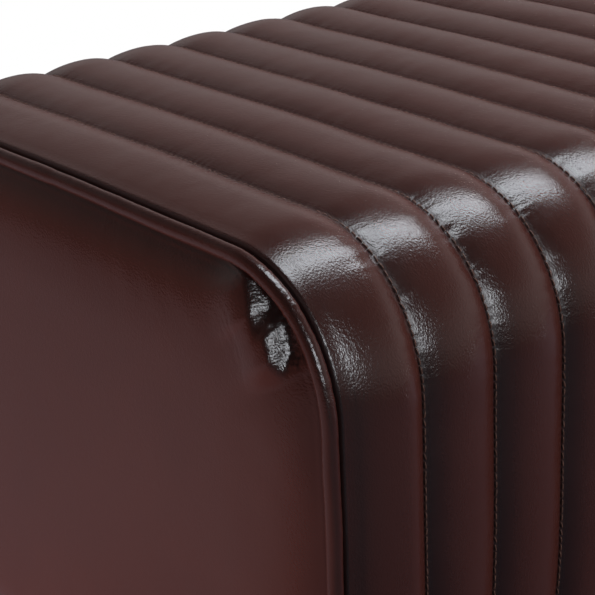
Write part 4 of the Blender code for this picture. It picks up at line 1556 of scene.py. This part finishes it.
def light_world(scene):
    """White surroundings for the camera, a dimmer room for reflections, and an even soft light."""
    scene.world = bpy.data.worlds.new("studio_surroundings")
    n = Nodes(scene.world)
    soft = n.tree.nodes["Background"]
    n.feed(soft, "Color", WHITE)
    n.feed(soft, "Strength", SOFT_LIGHT)
    towards = n.add("ShaderNodeTexCoord").outputs["Generated"]
    split = n.add("ShaderNodeSeparateXYZ", Vector=towards).outputs
    shade = n.add("ShaderNodeValToRGB", Fac=split["Z"])
    stops = shade.color_ramp.elements
    while len(stops) < len(ROOM):
        stops.new(1.0)
    for stop, (place, level) in zip(stops, ROOM):
        stop.position = place
        stop.color = (level, level, level, 1.0)
    across = n.ramp(split["X"], -ROOM_ACROSS, ROOM_ACROSS, ROOM_LEFT, ROOM_RIGHT)
    room = n.add("ShaderNodeBackground", Color=shade.outputs["Color"], Strength=across).outputs[0]
    white = n.add("ShaderNodeBackground", Color=WHITE, Strength=1.0).outputs[0]
    path = n.add("ShaderNodeLightPath").outputs
    shown = soft.outputs[0]
    for kind, other in (("Is Glossy Ray", room), ("Is Transmission Ray", white), ("Is Camera Ray", white)):
        shown = n.choose(path[kind], shown, other)
    n.end(shown)


def add_lamp(name, shape, spot, aim, size, power, tint, lights):
    """Soft lamp that looks at a point."""
    data = bpy.data.lights.new(name, "AREA")
    data.shape = shape
    data.size, data.size_y = size
    data.energy = power
    data.color = tint
    lamp = bpy.data.objects.new(name, data)
    bpy.context.scene.collection.objects.link(lamp)
    lamp.location = spot
    lamp.rotation_euler = (Vector(aim) - Vector(spot)).to_track_quat("-Z", "Y").to_euler()
    lamp.visible_camera = False
    lamp.visible_glossy = lights != "matt"
    lamp.visible_diffuse = lights != "gloss"


def add_camera(scene):
    """Camera at the photograph's place."""
    yaw, pitch, roll = (math.radians(value) for value in (CAMERA_YAW, CAMERA_PITCH, CAMERA_ROLL))
    ahead = Vector((math.sin(yaw) * math.cos(pitch), math.cos(yaw) * math.cos(pitch), -math.sin(pitch)))
    right = Vector((math.cos(yaw), -math.sin(yaw), 0.0))
    down = ahead.cross(right)
    across = right * math.cos(roll) + down * math.sin(roll)
    upward = right * math.sin(roll) - down * math.cos(roll)
    data = bpy.data.cameras.new("photo_camera")
    data.lens = CAMERA_LENS
    camera = bpy.data.objects.new("photo_camera", data)
    scene.collection.objects.link(camera)
    turn = Matrix((across, upward, -ahead)).transposed().to_4x4()
    camera.matrix_world = Matrix.Translation(CAMERA_PLACE) @ turn
    scene.camera = camera


class BENCH_PT_pieces(bpy.types.Panel):
    """List of the bench's pieces and their settings."""

    bl_idname = "BENCH_PT_pieces"
    bl_label = "Leather bench"
    bl_space_type = "VIEW_3D"
    bl_region_type = "UI"
    bl_category = "Bench"

    def draw(self, context):
        column = self.layout.column()
        for operator in OPERATORS:
            column.operator(operator.bl_idname)
        for group in (context.scene.bench_quilt, context.scene.bench_finishes):
            for key in group.bl_rna.properties.keys():
                if key not in ("rna_type", "name"):
                    column.prop(group, key)


OPERATORS = (
    BENCH_OT_quilted_cover,
    BENCH_OT_end_panels,
    BENCH_OT_piping,
    BENCH_OT_padding,
    BENCH_OT_timber_box,
    BENCH_OT_legs,
    BENCH_OT_dust_cover,
    BENCH_OT_stage,
)
CLASSES = (QuiltSizes, BenchFinishes, *OPERATORS, BENCH_PT_pieces)


def register():
    """Add the classes and their settings to Blender."""
    for item in CLASSES:
        bpy.utils.register_class(item)
    bpy.types.Scene.bench_quilt = PointerProperty(type=QuiltSizes)
    bpy.types.Scene.bench_finishes = PointerProperty(type=BenchFinishes)


def unregister():
    """Take the classes and their settings out of Blender."""
    del bpy.types.Scene.bench_finishes
    del bpy.types.Scene.bench_quilt
    for item in reversed(CLASSES):
        bpy.utils.unregister_class(item)


def main():
    """Dress the whole bench."""
    register()
    bpy.ops.leather_bench.quilted_cover()
    bpy.ops.leather_bench.end_panels()
    bpy.ops.leather_bench.piping()
    bpy.ops.leather_bench.padding()
    bpy.ops.leather_bench.timber_box()
    bpy.ops.leather_bench.legs()
    bpy.ops.leather_bench.dust_cover()
    bpy.ops.leather_bench.stage()


if __name__ == "__main__":
    main()
